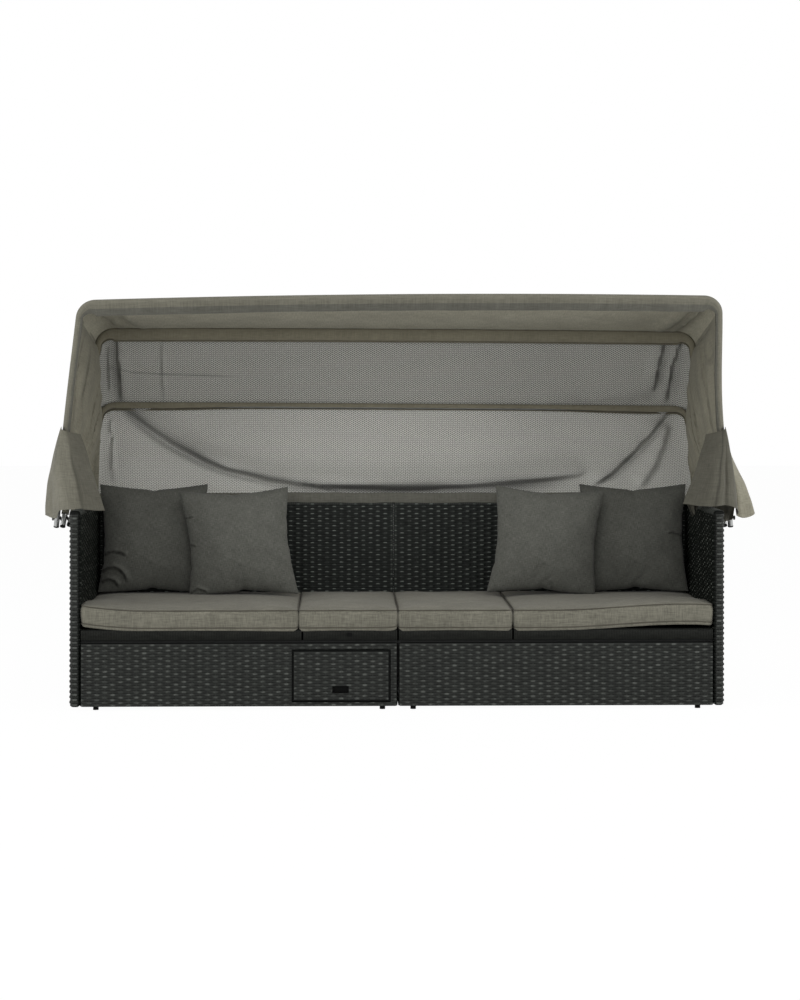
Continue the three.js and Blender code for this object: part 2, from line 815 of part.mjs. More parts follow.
function addPlug(bow, side) {
  const bore = (tubeRadius - tubeWall) * Math.cos(Math.PI / tubeSides) - fitGap;
  const profile = [
    new THREE.Vector2(0, -plugLip), new THREE.Vector2(tubeRadius, -plugLip), new THREE.Vector2(tubeRadius, -fitGap),
    new THREE.Vector2(bore, -fitGap), new THREE.Vector2(bore, plugStem), new THREE.Vector2(0, plugStem),
  ];
  const plug = addPart(`plug_${bow.name}_${sideName(side)}`, outward(new THREE.LatheGeometry(profile, tubeSides)), "plastic");
  const right = legPoint(bow, -bowEndPast);
  const high = legPoint(bow, 0);
  const foot = toWorld(bow, side > 0 ? right : mirroredLeg(right), 0, 0);
  const above = toWorld(bow, side > 0 ? high : mirroredLeg(high), 0, 0);
  const along = above.sub(foot).normalize();
  plug.quaternion.setFromUnitVectors(new THREE.Vector3(0, 1, 0), along);
  plug.position.copy(foot);
}

// Pivot bracket on the arm, and the bolt that carries all three bows

function addPivot(side) {
  const armX = overallWidth / 2 + fitGap;
  const bossX = rearPivotX - tubeRadius - bowFaceGap;
  const outline = roundedRectangle(
    pivotY - bracketWidth / 2, pivotY + bracketWidth / 2,
    pivotZ - bracketHeight / 2, Math.min(pivotZ + bracketHeight / 2, armHeight - fitGap), wickerRadius,
  );
  const plate = new THREE.ExtrudeGeometry(outline, { depth: bracketThickness, curveSegments: 4, bevelEnabled: false });
  plate.applyMatrix4(new THREE.Matrix4().set(0, 0, 1, armX, 1, 0, 0, 0, 0, 1, 0, 0, 0, 0, 0, 1));
  const boss = cylinderX(bossRadius, armX + bracketThickness / 2, bossX, pivotY, pivotZ, 20);
  const hole = cylinderX(boltRadius + fitGap, armX - overrun, bossX + overrun, pivotY, pivotZ, 12);
  const bracket = cut(joined(outward(plate), boss), hole);
  const endX = rearPivotX + 2 * bowPitch + tubeRadius + bowFaceGap;
  const spacers = [0.5, 1.5].map((place) => {
    const x = rearPivotX + place * bowPitch;
    return cylinderX(spacerRadius, x - spacerWidth / 2, x + spacerWidth / 2, pivotY, pivotZ, 14);
  });
  const shank = cylinderX(boltRadius, armX, endX + boltHeadLength / 2, pivotY, pivotZ, 12);
  const head = cylinderX(boltHeadRadius, endX, endX + boltHeadLength, pivotY, pivotZ, 6);
  const bolt = joined(shank, head, ...spacers);
  const flip = new THREE.Matrix4().makeScale(side, 1, 1);
  addPart(`pivot_bracket_${sideName(side)}`, outward(bracket.applyMatrix4(flip)), "steel");
  addPart(`pivot_bolt_${sideName(side)}`, outward(bolt.applyMatrix4(flip)), "steel");
}

// Sleeve on the front bow: a hem folded over the tube, deep across the top and slim down the legs

function addSleeve() {
  const bow = bows.front;
  const inner = sleeveHalf - sleeveWall;
  const arcSteps = 6;
  const section = (drop) => {
    const arc = (radius) => Array.from({ length: arcSteps + 1 }, (_, i) => {
      const angle = (Math.PI * i) / arcSteps;
      return [radius * Math.sin(angle), -radius * Math.cos(angle)];
    });
    return [[-drop, -sleeveHalf], ...arc(sleeveHalf), [-drop, sleeveHalf], [-drop, inner], ...arc(inner).reverse(), [-drop, -inner]];
  };
  const rings = bowPath(bow, sleeveEndReach).map((point) => {
    const drop = sleeveLegDrop + (sleeveDrop - sleeveLegDrop) * point.turn;
    return section(drop).map(([out, back]) => toWorld(bow, point, out, back));
  });
  addPart("front_sleeve", sectionSolid(rings), "canopy");
}

// Cloth panels between the bows

const stationCorners = 3;
const stationBar = 14;

function bowEdge(bow, out, back) {
  return hoopPoints(bow, stationCorners, stationBar).map((point) => toWorld(bow, point, out, back));
}

function panelBetween(firstEdge, lastEdge, rows, shift) {
  return firstEdge.map((start, i) => Array.from({ length: rows + 1 }, (_, j) => {
    const point = start.clone().lerp(lastEdge[i], j / rows);
    return point.add(shift(i / (firstEdge.length - 1), j / rows));
  }));
}

function bump(value, centre, width) {
  const share = (value - centre) / width;
  return Math.exp(-share * share);
}

function addRoof() {
  const front = bowEdge(bows.front, clothClear * 0.5, sleeveHalf + fitGap + clothThickness / 2);
  const back = bowEdge(bows.middle, clothClear * 1.08, -clothClear * 0.2);
  const grid = panelBetween(front, back, 7, (u, v) => {
    const middle = Math.sin(Math.PI * v) * Math.sin(Math.PI * u) ** 0.5;
    return new THREE.Vector3(0, 0, -roofSag * middle);
  });
  addPart("canopy_roof", sheetSolid(grid, clothThickness), "canopy");
}

// The upper net hangs from the middle bow to the rear bow with upright folds near its corners
function addUpperMesh() {
  const high = bowEdge(bows.middle, clothClear * 0.72, clothClear * 0.7);
  const low = bowEdge(bows.rear, clothClear * 1.02, clothClear * 0.44);
  const grid = panelBetween(high, low, 6, (u, v) => {
    const slack = Math.sin(Math.PI * v);
    const folds = bump(u, 0.2, 0.03) + bump(u, 0.28, 0.03) + bump(u, 0.78, 0.04);
    return new THREE.Vector3(0, slack * (meshSag * Math.sin(Math.PI * u) - foldDepth * 0.5 * folds), 0);
  });
  addPart("mesh_upper", sheetSolid(grid, clothThickness), "mesh");
}

// The lower net sags into swags that run from the bow's corners to the middle of the hem
function addLowerMesh() {
  const high = bowEdge(bows.rear, clothClear * 0.2, clothClear * 0.88);
  const reach = Math.abs(high[0].x);
  const low = high.map((point) => new THREE.Vector3((point.x / reach) * meshFootX, meshFootY, meshFootZ));
  const grid = panelBetween(high, low, 8, (u, v) => {
    const slack = Math.sin(Math.PI * v);
    const swag = 0.12 + 0.85 * (1 - Math.abs(2 * u - 1));
    const folds = bump(v, swag, 0.14) * Math.min(1, 6 * Math.min(u, 1 - u));
    return new THREE.Vector3(0, slack * (meshSag * Math.sin(Math.PI * u) - foldDepth * folds), 0);
  });
  addPart("mesh_lower", sheetSolid(grid, clothThickness), "mesh");
}

// The hem lies on the front of the back panels' top edge
function addHem() {
  const low = armHeight - hemOverlap;
  const rear = backFaceY - fitGap;
  const half = innerHalf - panelGap;
  addPart("hem_band", block(-half, half, rear - clothThickness, rear, low, low + hemHeight), "canopy");
}

// Side panels fan out between the legs of the bows
function sideX(y, z) {
  const q = Math.hypot(y - pivotY, z - pivotZ);
  const lean = Math.atan2(y - pivotY, z - pivotZ);
  const { front, middle, rear } = bows;
  const footLean = Math.atan2(meshFootY - pivotY, meshFootZ - pivotZ);
  const places = [
    [front.lean, legX(front, q) + clothClear * 0.6],
    [middle.lean, legX(middle, q) + clothClear * 1.25],
    [rear.lean, legX(rear, q) + clothClear],
    [footLean, Math.min(legX(rear, q) + clothClear, overallWidth / 2 + clothClear * 3)],
  ];
  if (lean <= places[0][0]) return places[0][1];
  for (let k = 0; k + 1 < places.length; k += 1) {
    const [lean0, x0] = places[k];
    const [lean1, x1] = places[k + 1];
    if (lean <= lean1) return x0 + ((x1 - x0) * (lean - lean0)) / (lean1 - lean0);
  }
  return places[places.length - 1][1];
}

function polyline(points, share) {
  const at = Math.min(share, 0.999999) * (points.length - 1);
  const k = Math.floor(at);
  return points[k].clone().lerp(points[k + 1], at - k);
}

function addSideCloth(side) {
  const start = (bow, back) => {
    const point = toWorld(bow, hoopPoints(bow, stationCorners, stationBar)[0], 0, back);
    return new THREE.Vector2(point.y, point.z);
  };
  const behindSleeve = sleeveHalf + fitGap + clothThickness / 2;
  const foot = toWorld(bows.front, legPoint(bows.front, sleeveEndReach), 0, behindSleeve);
  const footEnd = new THREE.Vector2(meshFootY, meshFootZ + sideFootRise);
  const high = [start(bows.front, behindSleeve), start(bows.middle, 0), start(bows.rear, 0)];
  const low = [new THREE.Vector2(foot.y, foot.z), footEnd];
  const columns = 12;
  const rows = 8;
  const grid = Array.from({ length: columns + 1 }, (_, i) => {
    const u = i / columns;
    const lower = polyline(low, u);
    const upper = polyline(high, u);
    return Array.from({ length: rows + 1 }, (_, j) => {
      const v = j / rows;
      const place = lower.clone().lerp(upper, v);
      const wave = sideWrinkle * Math.sin(Math.PI * v) * Math.sin(Math.PI * u) * (1 - Math.cos(6 * Math.PI * u)) / 2;
      const q = Math.hypot(place.x - pivotY, place.y - pivotZ);
      const sway = (bowSway * q) / frontReach;
      return new THREE.Vector3(side * (sideX(place.x, place.y) + wave) + sway, place.x, place.y);
    });
  });
  addPart(`side_cloth_${sideName(side)}`, sheetSolid(grid, clothThickness), "canopy");
}

// Skirts hang from the lower ends of the side panels, over the arms and pivots
function addSkirt(side) {
  const armX = overallWidth / 2;
  const placed = ([out, back, up]) => new THREE.Vector3(side * (armX + out), pivotY + back, pivotZ + up);
  const curve = (places) => new THREE.CatmullRomCurve3(places.map(placed));
  const top = curve([skirtTopInner, skirtTopFront, skirtTopOuter, skirtTopSide, skirtTopRear]);
  const foot = curve([skirtFootInner, skirtFootFront, skirtFootOuter, skirtFootSide, skirtFootRear]);
  const columns = 16;
  const rows = 6;
  const grid = Array.from({ length: columns + 1 }, (_, i) => {
    const u = i / columns;
    const from = top.getPoint(u);
    const to = foot.getPoint(u);
    return Array.from({ length: rows + 1 }, (_, j) => {
      const v = j / rows;
      const point = from.clone().lerp(to, v);
      point.x += ((1 - v) * bowSway * (from.z - pivotZ)) / frontReach;
      point.y -= skirtRipple * Math.sin(Math.PI * v) * Math.sin(5 * Math.PI * u);
      return point;
    });
  });
  addPart(`skirt_${sideName(side)}`, sheetSolid(grid, clothThickness), "canopy");
}

// Assembly

for (const side of [-1, 1]) {
  addBaseFrame(side);
  addFrontPanel(side);
  addBackPanel(side);
  addArm(side);
}
addGlides();
addClip("module_clip_front", clipFrontY);
addClip("module_clip_rear", backFaceY - clipRearForward);
for (let index = 0; index < 4; index += 1) {
  addSeatFrame(index);
  addCushion(index);
}
addTab();
addDrawer();
const rearPillowX = innerHalf - pillowWidth / 2 - pillowArmGap;
const sectionEdgeX = cushionEdges[1] + cushionGap / 2;
const frontPillowX = frontPillowGap + leftPillowSlump + pillowWidth / 2 - sectionEdgeX;
const rearPillowY = backFaceY - rearPillowForward;
const frontPillowY = backFaceY - frontPillowForward;
addPillow("pillow_left_rear", -rearPillowX, rearPillowY, rearPillowLean, 0);
addPillow("pillow_left_front", -frontPillowX, frontPillowY, frontPillowLean, -leftPillowSlump);
addPillow("pillow_right_front", frontPillowX - rightPillowShift, frontPillowY, frontPillowLean, rightPillowSlump);
addPillow("pillow_right_rear", rearPillowX, rearPillowY, rearPillowLean, 0);
for (const bow of Object.values(bows)) addBow(bow);
for (const side of [-1, 1]) {
  addPivot(side);
  addSideCloth(side);
  addSkirt(side);
}
addSleeve();
addRoof();
addUpperMesh();
addLowerMesh();
addHem();

// The origin goes under the middle of the whole object
const wholeBox = new THREE.Box3().setFromObject(daybed, true);
const middle = wholeBox.getCenter(new THREE.Vector3());
daybed.position.set(-middle.x, -middle.y, -wholeBox.min.z);
const place = daybed.position;
console.log(`origin shift ${place.x.toFixed(3)} ${place.y.toFixed(3)} ${place.z.toFixed(3)}`);

export default daybed;
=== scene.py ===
"""Looks of an outdoor daybed with a folding canopy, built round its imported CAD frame."""

import math

import bpy
import numpy as np
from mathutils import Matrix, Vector, noise


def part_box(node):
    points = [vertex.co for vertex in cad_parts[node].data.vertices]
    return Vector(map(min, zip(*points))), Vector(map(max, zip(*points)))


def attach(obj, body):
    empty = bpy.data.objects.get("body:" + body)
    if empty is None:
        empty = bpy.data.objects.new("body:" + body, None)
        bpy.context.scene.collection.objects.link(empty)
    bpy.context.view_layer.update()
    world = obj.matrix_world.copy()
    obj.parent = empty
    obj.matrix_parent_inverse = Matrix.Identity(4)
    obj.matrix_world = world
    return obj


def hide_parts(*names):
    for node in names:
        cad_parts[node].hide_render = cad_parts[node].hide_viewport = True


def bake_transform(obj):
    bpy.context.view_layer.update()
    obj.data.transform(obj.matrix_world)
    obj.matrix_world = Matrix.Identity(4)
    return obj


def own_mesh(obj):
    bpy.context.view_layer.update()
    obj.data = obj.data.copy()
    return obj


bl_info = {
    "name": "Outdoor daybed with canopy",
    "version": (1, 0, 0),
    "blender": (4, 5, 0),
    "location": "View3D > Sidebar > Daybed",
    "description": "Weave, cushions, pillows, canopy cloth and stage for the daybed's CAD frame",
    "category": "Object",
}

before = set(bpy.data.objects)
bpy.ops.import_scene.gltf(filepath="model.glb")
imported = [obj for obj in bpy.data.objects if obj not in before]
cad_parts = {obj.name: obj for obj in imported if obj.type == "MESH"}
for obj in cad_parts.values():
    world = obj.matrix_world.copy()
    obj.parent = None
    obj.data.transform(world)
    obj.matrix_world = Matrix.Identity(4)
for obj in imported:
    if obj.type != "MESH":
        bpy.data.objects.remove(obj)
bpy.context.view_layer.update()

# Places that the frame gives: the arms' faces and top, the pivots and the backrest
arm_low, arm_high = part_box("arm_left")
front_y = arm_low.y
inner_half = -arm_high.x
outer_half = -arm_low.x
arm_top = arm_high.z
bolt_low, bolt_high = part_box("pivot_bolt_left")
pivot_y = (bolt_low.y + bolt_high.y) / 2
pivot_z = (bolt_low.z + bolt_high.z) / 2
back_low, back_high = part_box("back_panel_left")

# Bows: how far back and up from the pivots the bar is, its arch, how much higher its right end
# hangs, and its share of the bend of the legs
bow_sizes = {
    "front": (-0.200, 0.810, 0.013, 0.010, 0.80),
    "middle": (0.350, 0.701, 0.004, -0.006, 0.62),
    "rear": (0.445, 0.411, 0.002, -0.010, 0.40),
}
front_reach = math.hypot(*bow_sizes["front"][:2])
tube_radius = 0.010

# Radius of the bows' corners, the gap from bow to bow there, and how far the legs pass the pivots
bow_corner = 0.060
bow_nest = 0.023
bow_end_past = 0.032

# How the canopy hangs out of true: sideways at the top, and the legs' bend sideways and inwards
bow_sway = 0.016
leg_bend = 0.014
leg_pinch = 0.0105

# Columns of points round a bow's corner, over the roof's bar and over the nets' bars
corner_columns, roof_columns, net_columns = 8, 150, 230

# Thickness of the canopy's cloth, of its hems and of the net
cloth_thick = 0.0012
hem_thick = 0.0014
net_thick = 0.0010

# Skirts: places past the arm's outside, back from the pivot and up from it
skirt_top = [
    (0.007, -0.079, 0.317), (0.068, -0.114, 0.333), (0.0828, -0.080, 0.343), (0.103, 0.020, 0.275),
    (0.097, 0.140, 0.181),
]
skirt_feet = {
    "left": [
        (-0.098, -0.215, 0.043), (-0.012, -0.318, 0.052), (0.078, -0.270, 0.045),
        (0.118, -0.120, 0.020), (0.120, 0.110, 0.029),
    ],
    "right": [
        (-0.109, -0.215, 0.064), (-0.030, -0.318, 0.062), (0.058, -0.300, 0.061),
        (0.112, -0.180, 0.014), (0.169, -0.080, 0.030), (0.150, 0.110, 0.029),
    ],
}

# Folds of the skirts: share of the way round, width as a share, and height
skirt_folds = {
    "left": ((0.10, 0.09, 0.010), (0.36, 0.13, 0.034), (0.56, 0.05, -0.016), (0.74, 0.08, 0.020)),
    "right": (
        (0.16, 0.10, 0.014), (0.33, 0.025, -0.014), (0.46, 0.05, 0.012), (0.56, 0.03, -0.028),
        (0.72, 0.09, 0.026),
    ),
}

# Share of the way round the right skirt where its turned-out flap starts
flap_start = 0.525

# Panels: radius of their edges, how far the weave stops short of the foot and the top, width of a
# stake, and the gap from the front's weave to the drawer
panel_radius = 0.009
weave_foot, weave_top = 0.004, 0.010
stake_width = 0.0066
drawer_gap = 0.0042

# Bands over the panels' top edges: pitch, width, how far down they reach and how far they stand out
rim_pitch, rim_width = 0.0083, 0.0078
rim_reach, rim_lift = 0.014, 0.0032

# Seat cushions: height of the piped edge and of the crown over it
cushion_edge, cushion_crown = 0.070, 0.012

# Pillows: half the flat cover's sides, the filled size, half its sides at the seam, the frames that
# the stuffing takes, and the share of the stuffed cloth's shape in the filled one
cover_half = (0.225, 0.222)
pillow_size = (0.418, 0.418, 0.124)
pillow_half = (0.2125, 0.209)
stuffing_frames = 30
stuffing_share = 0.30

# Camera: place, turn, and the photograph's focal length in pixels of its height
photo_height = 1000
focal_pixels = 2245.45
sensor = 36
camera_place = (-0.21384, front_y - 8.0, 1.2118)
camera_turn = (math.pi / 2, -0.00086, -0.02746)
camera_shift = -0.1299

# Lamps: place, target, size and power
lamps = {
    "front": ((-0.6, -5.2, 1.5), (0, 0, 0.8), (5.0, 1.6), 88),
    "top": ((0, -1.4, 4.2), (0, 0, 0.6), (4.0, 2.4), 64),
    "left side": ((-4.6, -1.6, 1.8), (-1.1, -0.1, 0.8), (2.4, 2.4), 120),
    "right side": ((4.6, -1.6, 1.8), (1.1, -0.1, 0.8), (2.4, 2.4), 150),
}
room_light = 0.42
floor_white = 0.975


# Small helpers

def only(*objects):
    """Selects these objects alone and makes the first one active."""
    if bpy.context.object and bpy.context.object.mode != "OBJECT":
        bpy.ops.object.mode_set(mode="OBJECT")
    bpy.ops.object.select_all(action="DESELECT")
    for obj in objects:
        obj.select_set(True)
    bpy.context.view_layer.objects.active = objects[0]
    return objects[0]


def apply_modifier(obj, kind, **settings):
    only(obj)
    modifier = obj.modifiers.new(kind.lower(), kind)
    for key, value in settings.items():
        setattr(modifier, key, value)
    bpy.ops.object.modifier_apply(modifier=modifier.name)
    return obj


def smooth(obj, degrees=None):
    only(obj)
    if degrees is None:
        bpy.ops.object.shade_smooth()
    else:
        bpy.ops.object.shade_smooth_by_angle(angle=math.radians(degrees))
    return obj


def repeat(obj, count, step):
    """Copies a piece side by side, one step apart."""
    if count > 1:
        apply_modifier(
            obj, "ARRAY", count=count, use_relative_offset=False, use_constant_offset=True,
            constant_offset_displace=step,
        )


def join(name, pieces):
    only(*pieces)
    if len(pieces) > 1:
        bpy.ops.object.join()
    pieces[0].name = name
    pieces[0].data.name = name
    return pieces[0]


def points_of(obj):
    flat = np.zeros(len(obj.data.vertices) * 3)
    obj.data.vertices.foreach_get("co", flat)
    return flat.reshape(-1, 3)


def set_points(obj, points):
    obj.data.vertices.foreach_set("co", np.asarray(points, float).ravel())
    obj.data.update()


def solid_of(name, points, faces):
    mesh = bpy.data.meshes.new(name)
    mesh.from_pydata([tuple(p) for p in points], [], [tuple(f) for f in faces])
    mesh.update()
    obj = bpy.data.objects.new(name, mesh)
    bpy.context.scene.collection.objects.link(obj)
    return obj


def outward(obj):
    only(obj)
    bpy.ops.object.mode_set(mode="EDIT")
    bpy.ops.mesh.select_all(action="SELECT")
    bpy.ops.mesh.remove_doubles(threshold=0.00002)
    bpy.ops.mesh.normals_make_consistent(inside=False)
    bpy.ops.object.mode_set(mode="OBJECT")
    return obj


def write_layer(obj, name, values):
    """Writes one number for each point."""
    layer = obj.data.attributes.new(name, "FLOAT", "POINT")
    spread = np.broadcast_to(np.asarray(values, float).ravel(), len(obj.data.vertices))
    layer.data.foreach_set("value", spread.astype(np.float32))


def face_centres(obj):
    centres = np.zeros(len(obj.data.polygons) * 3)
    obj.data.polygons.foreach_get("center", centres)
    return centres.reshape(-1, 3)


def paint(obj, material):
    obj.data.materials.clear()
    obj.data.materials.append(material)
    return obj


def repaint(node, material):
    """Gives a CAD node a finish without touching its mesh."""
    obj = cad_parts[node]
    if not obj.data.materials:
        obj.data.materials.append(material)
    for place in obj.material_slots:
        place.material = material


def smoothstep(value, low, high):
    t = np.clip((value - low) / (high - low), 0, 1)
    return t * t * (3 - 2 * t)


def bell(value, width):
    """A smooth bump of height 1 round zero."""
    return np.exp(-((value / width) ** 2))


def wave_at(x, y, z):
    """Smooth noise of about -1 to 1 at one place."""
    return noise.noise(Vector((x, y, z)))


def wander(points, scale, seed):
    """Smooth noise of about -1 to 1 at each point."""
    shift = Vector((seed * 7.31, seed * 3.17, seed * 5.77))
    values = [noise.noise(Vector(p) * scale + shift) for p in points.reshape(-1, 3)]
    return np.array(values).reshape(points.shape[:-1])


def near_line(x, z, line):
    """Distance from each place to a bent line, positive above it, and the share of the way along."""
    best = np.full(x.shape, 1e9)
    side = np.zeros(x.shape)
    along = np.zeros(x.shape)
    count = len(line) - 1
    for k in range(count):
        (x0, z0), (x1, z1) = line[k], line[k + 1]
        dx, dz = x1 - x0, z1 - z0
        t = np.clip(((x - x0) * dx + (z - z0) * dz) / (dx * dx + dz * dz), 0, 1)
        gap_x, gap_z = x - x0 - t * dx, z - z0 - t * dz
        far = np.hypot(gap_x, gap_z)
        closer = far < best
        best = np.where(closer, far, best)
        side = np.where(closer, np.sign(dx * gap_z - dz * gap_x) * (1 if dx >= 0 else -1), side)
        along = np.where(closer, (k + t) / count, along)
    return best * side, along


def crease(x, z, line, width, height, fade=0.15):
    """Height of a fold that is soft above a line, steep below it and fades at both ends."""
    gap, along = near_line(x, z, line)
    tuck = bell(gap, 0.35 * width) - 0.45 * bell(gap + 0.55 * width, 0.3 * width)
    shape = np.where(gap > 0, bell(gap, width), tuck)
    ends = smoothstep(along, 0, fade) * (1 - smoothstep(along, 1 - fade, 1))
    return height * shape * ends


def tuck_shade(x, z, line, width, dark):
    """Painted shade along a fold's line: a sharp lower side and a soft upper one."""
    gap, along = near_line(x, z, line)
    width = width * (1 + 0.35 * np.sin(along * 9 + 1))
    gap = gap + width * (0.12 + 0.10 * np.sin(along * 23))
    above = 0.45 * np.exp(-np.clip(gap, 0, None) / (0.9 * width)) + 0.55 * bell(gap, 0.30 * width)
    shape = np.where(gap > 0, above, bell(gap, 0.34 * width))
    ends = smoothstep(along, 0, 0.08) * (1 - smoothstep(along, 0.80, 1))
    return dark * (0.82 + 0.18 * np.sin(along * 31)) * shape * ends


def smooth_curve(points, share):
    """A point on a smooth curve through the given points."""
    count = len(points) - 1
    at = min(share, 0.999999) * count
    k = int(at)
    t = at - k
    p1, p2 = Vector(points[k]), Vector(points[k + 1])
    p0 = Vector(points[k - 1]) if k > 0 else p1 * 2 - p2
    p3 = Vector(points[k + 2]) if k + 2 <= count else p2 * 2 - p1
    second, third = 2 * p0 - 5 * p1 + 4 * p2 - p3, 3 * p1 - p0 - 3 * p2 + p3
    return 0.5 * (2 * p1 + (p2 - p0) * t + second * t * t + third * t ** 3)


# Cloth sheets and tubes

def sheet_area(points):
    a = points[1:, 1:] - points[:-1, :-1]
    b = points[1:, :-1] - points[:-1, 1:]
    return float(np.linalg.norm(np.cross(a, b), axis=-1).sum() / 2)


def cloth(name, points, thick, material, trim=None, painted_shade=None):
    """A sheet of even thickness over a grid of points, with its UV map in metres along the cloth.

    trim is a second finish and its rows of faces; the last argument is painted shade, from 0 to 1.
    """
    points = np.asarray(points, float)
    rows, columns = points.shape[:2]
    index = np.arange(rows * columns).reshape(rows, columns)
    cells = np.stack([index[:-1, :-1], index[:-1, 1:], index[1:, 1:], index[1:, :-1]], -1)
    obj = solid_of(name, points.reshape(-1, 3), cells.reshape(-1, 4).tolist())
    across = np.linalg.norm(np.diff(points, axis=1), axis=-1).mean(0)
    along = np.linalg.norm(np.diff(points, axis=0), axis=-1).mean(1)
    u = np.concatenate([[0], np.cumsum(across)])
    v = np.concatenate([[0], np.cumsum(along)])
    place = np.stack(np.meshgrid(u, v), -1).reshape(-1, 2)
    layer = obj.data.uv_layers.new(name="cloth")
    corners = np.zeros(len(obj.data.loops), int)
    obj.data.loops.foreach_get("vertex_index", corners)
    layer.data.foreach_set("uv", place[corners].ravel())
    paint(obj, material)
    if trim:
        obj.data.materials.append(trim[0])
        second = np.isin(np.arange(rows - 1), list(trim[1]))
        obj.data.polygons.foreach_set("material_index", np.repeat(second.astype(int), columns - 1))
    if painted_shade is not None:
        write_layer(obj, "tuck", np.clip(painted_shade, 0, 1))
    apply_modifier(obj, "SOLIDIFY", thickness=thick, offset=0)
    smooth(obj, 50)
    obj["flat_width"], obj["flat_length"] = float(u[-1]), float(v[-1])
    obj["flat_area"] = sheet_area(points)
    return obj


def declare(obj):
    """Works out the size that this cloth was cut to, without keeping it."""
    width, length, area = obj["flat_width"], obj["flat_length"], obj["flat_area"]
    if area > width * length:
        width *= area / (width * length) * 1.0005


def ring_faces(count, sides):
    """The indices of rings of points, and the faces between them."""
    index = np.arange(count * sides).reshape(count, sides)
    nxt = np.roll(index, -1, axis=1)
    faces = np.stack([index[:-1], nxt[:-1], nxt[1:], index[1:]], -1).reshape(-1, 4).tolist()
    return index, faces


def sweep(name, sections):
    """Skins rings of points and closes both ends."""
    rings = np.asarray(sections, float)
    index, faces = ring_faces(*rings.shape[:2])
    faces += [index[0][::-1].tolist(), index[-1].tolist()]
    return outward(solid_of(name, rings.reshape(-1, 3), faces))


def tube(name, path, radius, sides=12):
    """A round tube along a line of points."""
    path = [Vector(p) for p in path]
    angles = np.arange(sides) * 2 * math.pi / sides
    rings = []
    side = None
    for k, p in enumerate(path):
        ahead = (path[min(k + 1, len(path) - 1)] - path[max(k - 1, 0)]).normalized()
        if side is None:
            side = ahead.orthogonal().normalized()
        side = (side - ahead * side.dot(ahead)).normalized()
        up = ahead.cross(side)
        r = radius[k] if hasattr(radius, "__len__") else radius
        rings.append([tuple(p + (side * math.cos(a) + up * math.sin(a)) * r) for a in angles])
    return smooth(sweep(name, rings), 50)


def ring_tube(name, path, radius, sides=8):
    """A closed cord round a closed line of points."""
    path = np.asarray(path, float)
    ahead = np.roll(path, -1, 0) - np.roll(path, 1, 0)
    ahead /= np.linalg.norm(ahead, axis=1)[:, None]
    up = np.tile([0, 0, 1.0], (len(path), 1))
    side = np.cross(ahead, up)
    side /= np.linalg.norm(side, axis=1)[:, None]
    up = np.cross(side, ahead)
    angles = (np.arange(sides) * 2 * math.pi / sides)[None, :, None]
    rings = path[:, None] + radius * (side[:, None] * np.cos(angles) + up[:, None] * np.sin(angles))
    index = np.arange(len(path) * sides).reshape(len(path), sides)
    nxt, ring = np.roll(index, -1, 1), np.roll(index, -1, 0)
    faces = np.stack([index, nxt, np.roll(ring, -1, 1), ring], -1).reshape(-1, 4)
    return smooth(outward(solid_of(name, rings.reshape(-1, 3), faces.tolist())))


# Materials

def new_material(name):
    material = bpy.data.materials.new(name)
    material.use_nodes = True
    tree = material.node_tree
    tree.nodes.clear()
    result = tree.nodes.new("ShaderNodeOutputMaterial")
    skin = tree.nodes.new("ShaderNodeBsdfPrincipled")
    tree.links.new(skin.outputs["BSDF"], result.inputs["Surface"])
    return material, tree, skin


def put(tree, kind, inputs=None, **settings):
    made = tree.nodes.new("ShaderNode" + kind)
    for key, value in settings.items():
        setattr(made, key, value)
    for key, value in (inputs or {}).items():
        if isinstance(value, bpy.types.NodeSocket):
            tree.links.new(value, made.inputs[key])
        else:
            made.inputs[key].default_value = value
    return made


def colour_mix(tree, share, a, b, kind="MIX"):
    made = put(tree, "Mix", {0: share}, data_type="RGBA", blend_type=kind)
    for place, value in ((6, a), (7, b)):
        if isinstance(value, bpy.types.NodeSocket):
            tree.links.new(value, made.inputs[place])
        else:
            made.inputs[place].default_value = value
    return made.outputs[2]


def math_node(tree, kind, a, b=0.0):
    return put(tree, "Math", {0: a, 1: b}, operation=kind).outputs[0]


def linear(colour):
    """An sRGB colour as scene-linear values."""
    values = [c / 12.92 if c <= 0.04045 else ((c + 0.055) / 1.055) ** 2.4 for c in colour[:3]]
    return (*values, 1.0)


def shade(colour, factor):
    return (*(c * factor for c in colour[:3]), 1.0)


def place_from(tree, use_uv, scale):
    source = put(tree, "TexCoord").outputs["UV" if use_uv else "Object"]
    return put(tree, "Mapping", {"Vector": source, "Scale": scale}).outputs[0]


def speckle(tree, use_uv, scale, detail=2.0, roughness=0.5):
    """Noise at a scale along each axis."""
    place = place_from(tree, use_uv, scale)
    inputs = {"Vector": place, "Scale": 1.0, "Detail": detail, "Roughness": roughness}
    return put(tree, "TexNoise", inputs).outputs[0]


def ranged(tree, value, low, high, to_low=0.0, to_high=1.0):
    """A value's range turned into another, and held inside it."""
    return put(tree, "MapRange", {0: value, 1: low, 2: high, 3: to_low, 4: to_high}).outputs[0]


def scaled(tree, colour, factor):
    return put(tree, "VectorMath", {0: colour, "Scale": factor}, operation="SCALE").outputs[0]


def finish_skin(tree, skin, colour, height, depth, strength, **values):
    """Links the colour and the fine relief, and sets the other values on the shader's sockets."""
    tree.links.new(colour, skin.inputs["Base Color"])
    bump = put(tree, "Bump", {"Height": height, "Distance": depth, "Strength": strength})
    tree.links.new(bump.outputs[0], skin.inputs["Normal"])
    for key, value in values.items():
        skin.inputs[key.replace("_", " ")].default_value = value


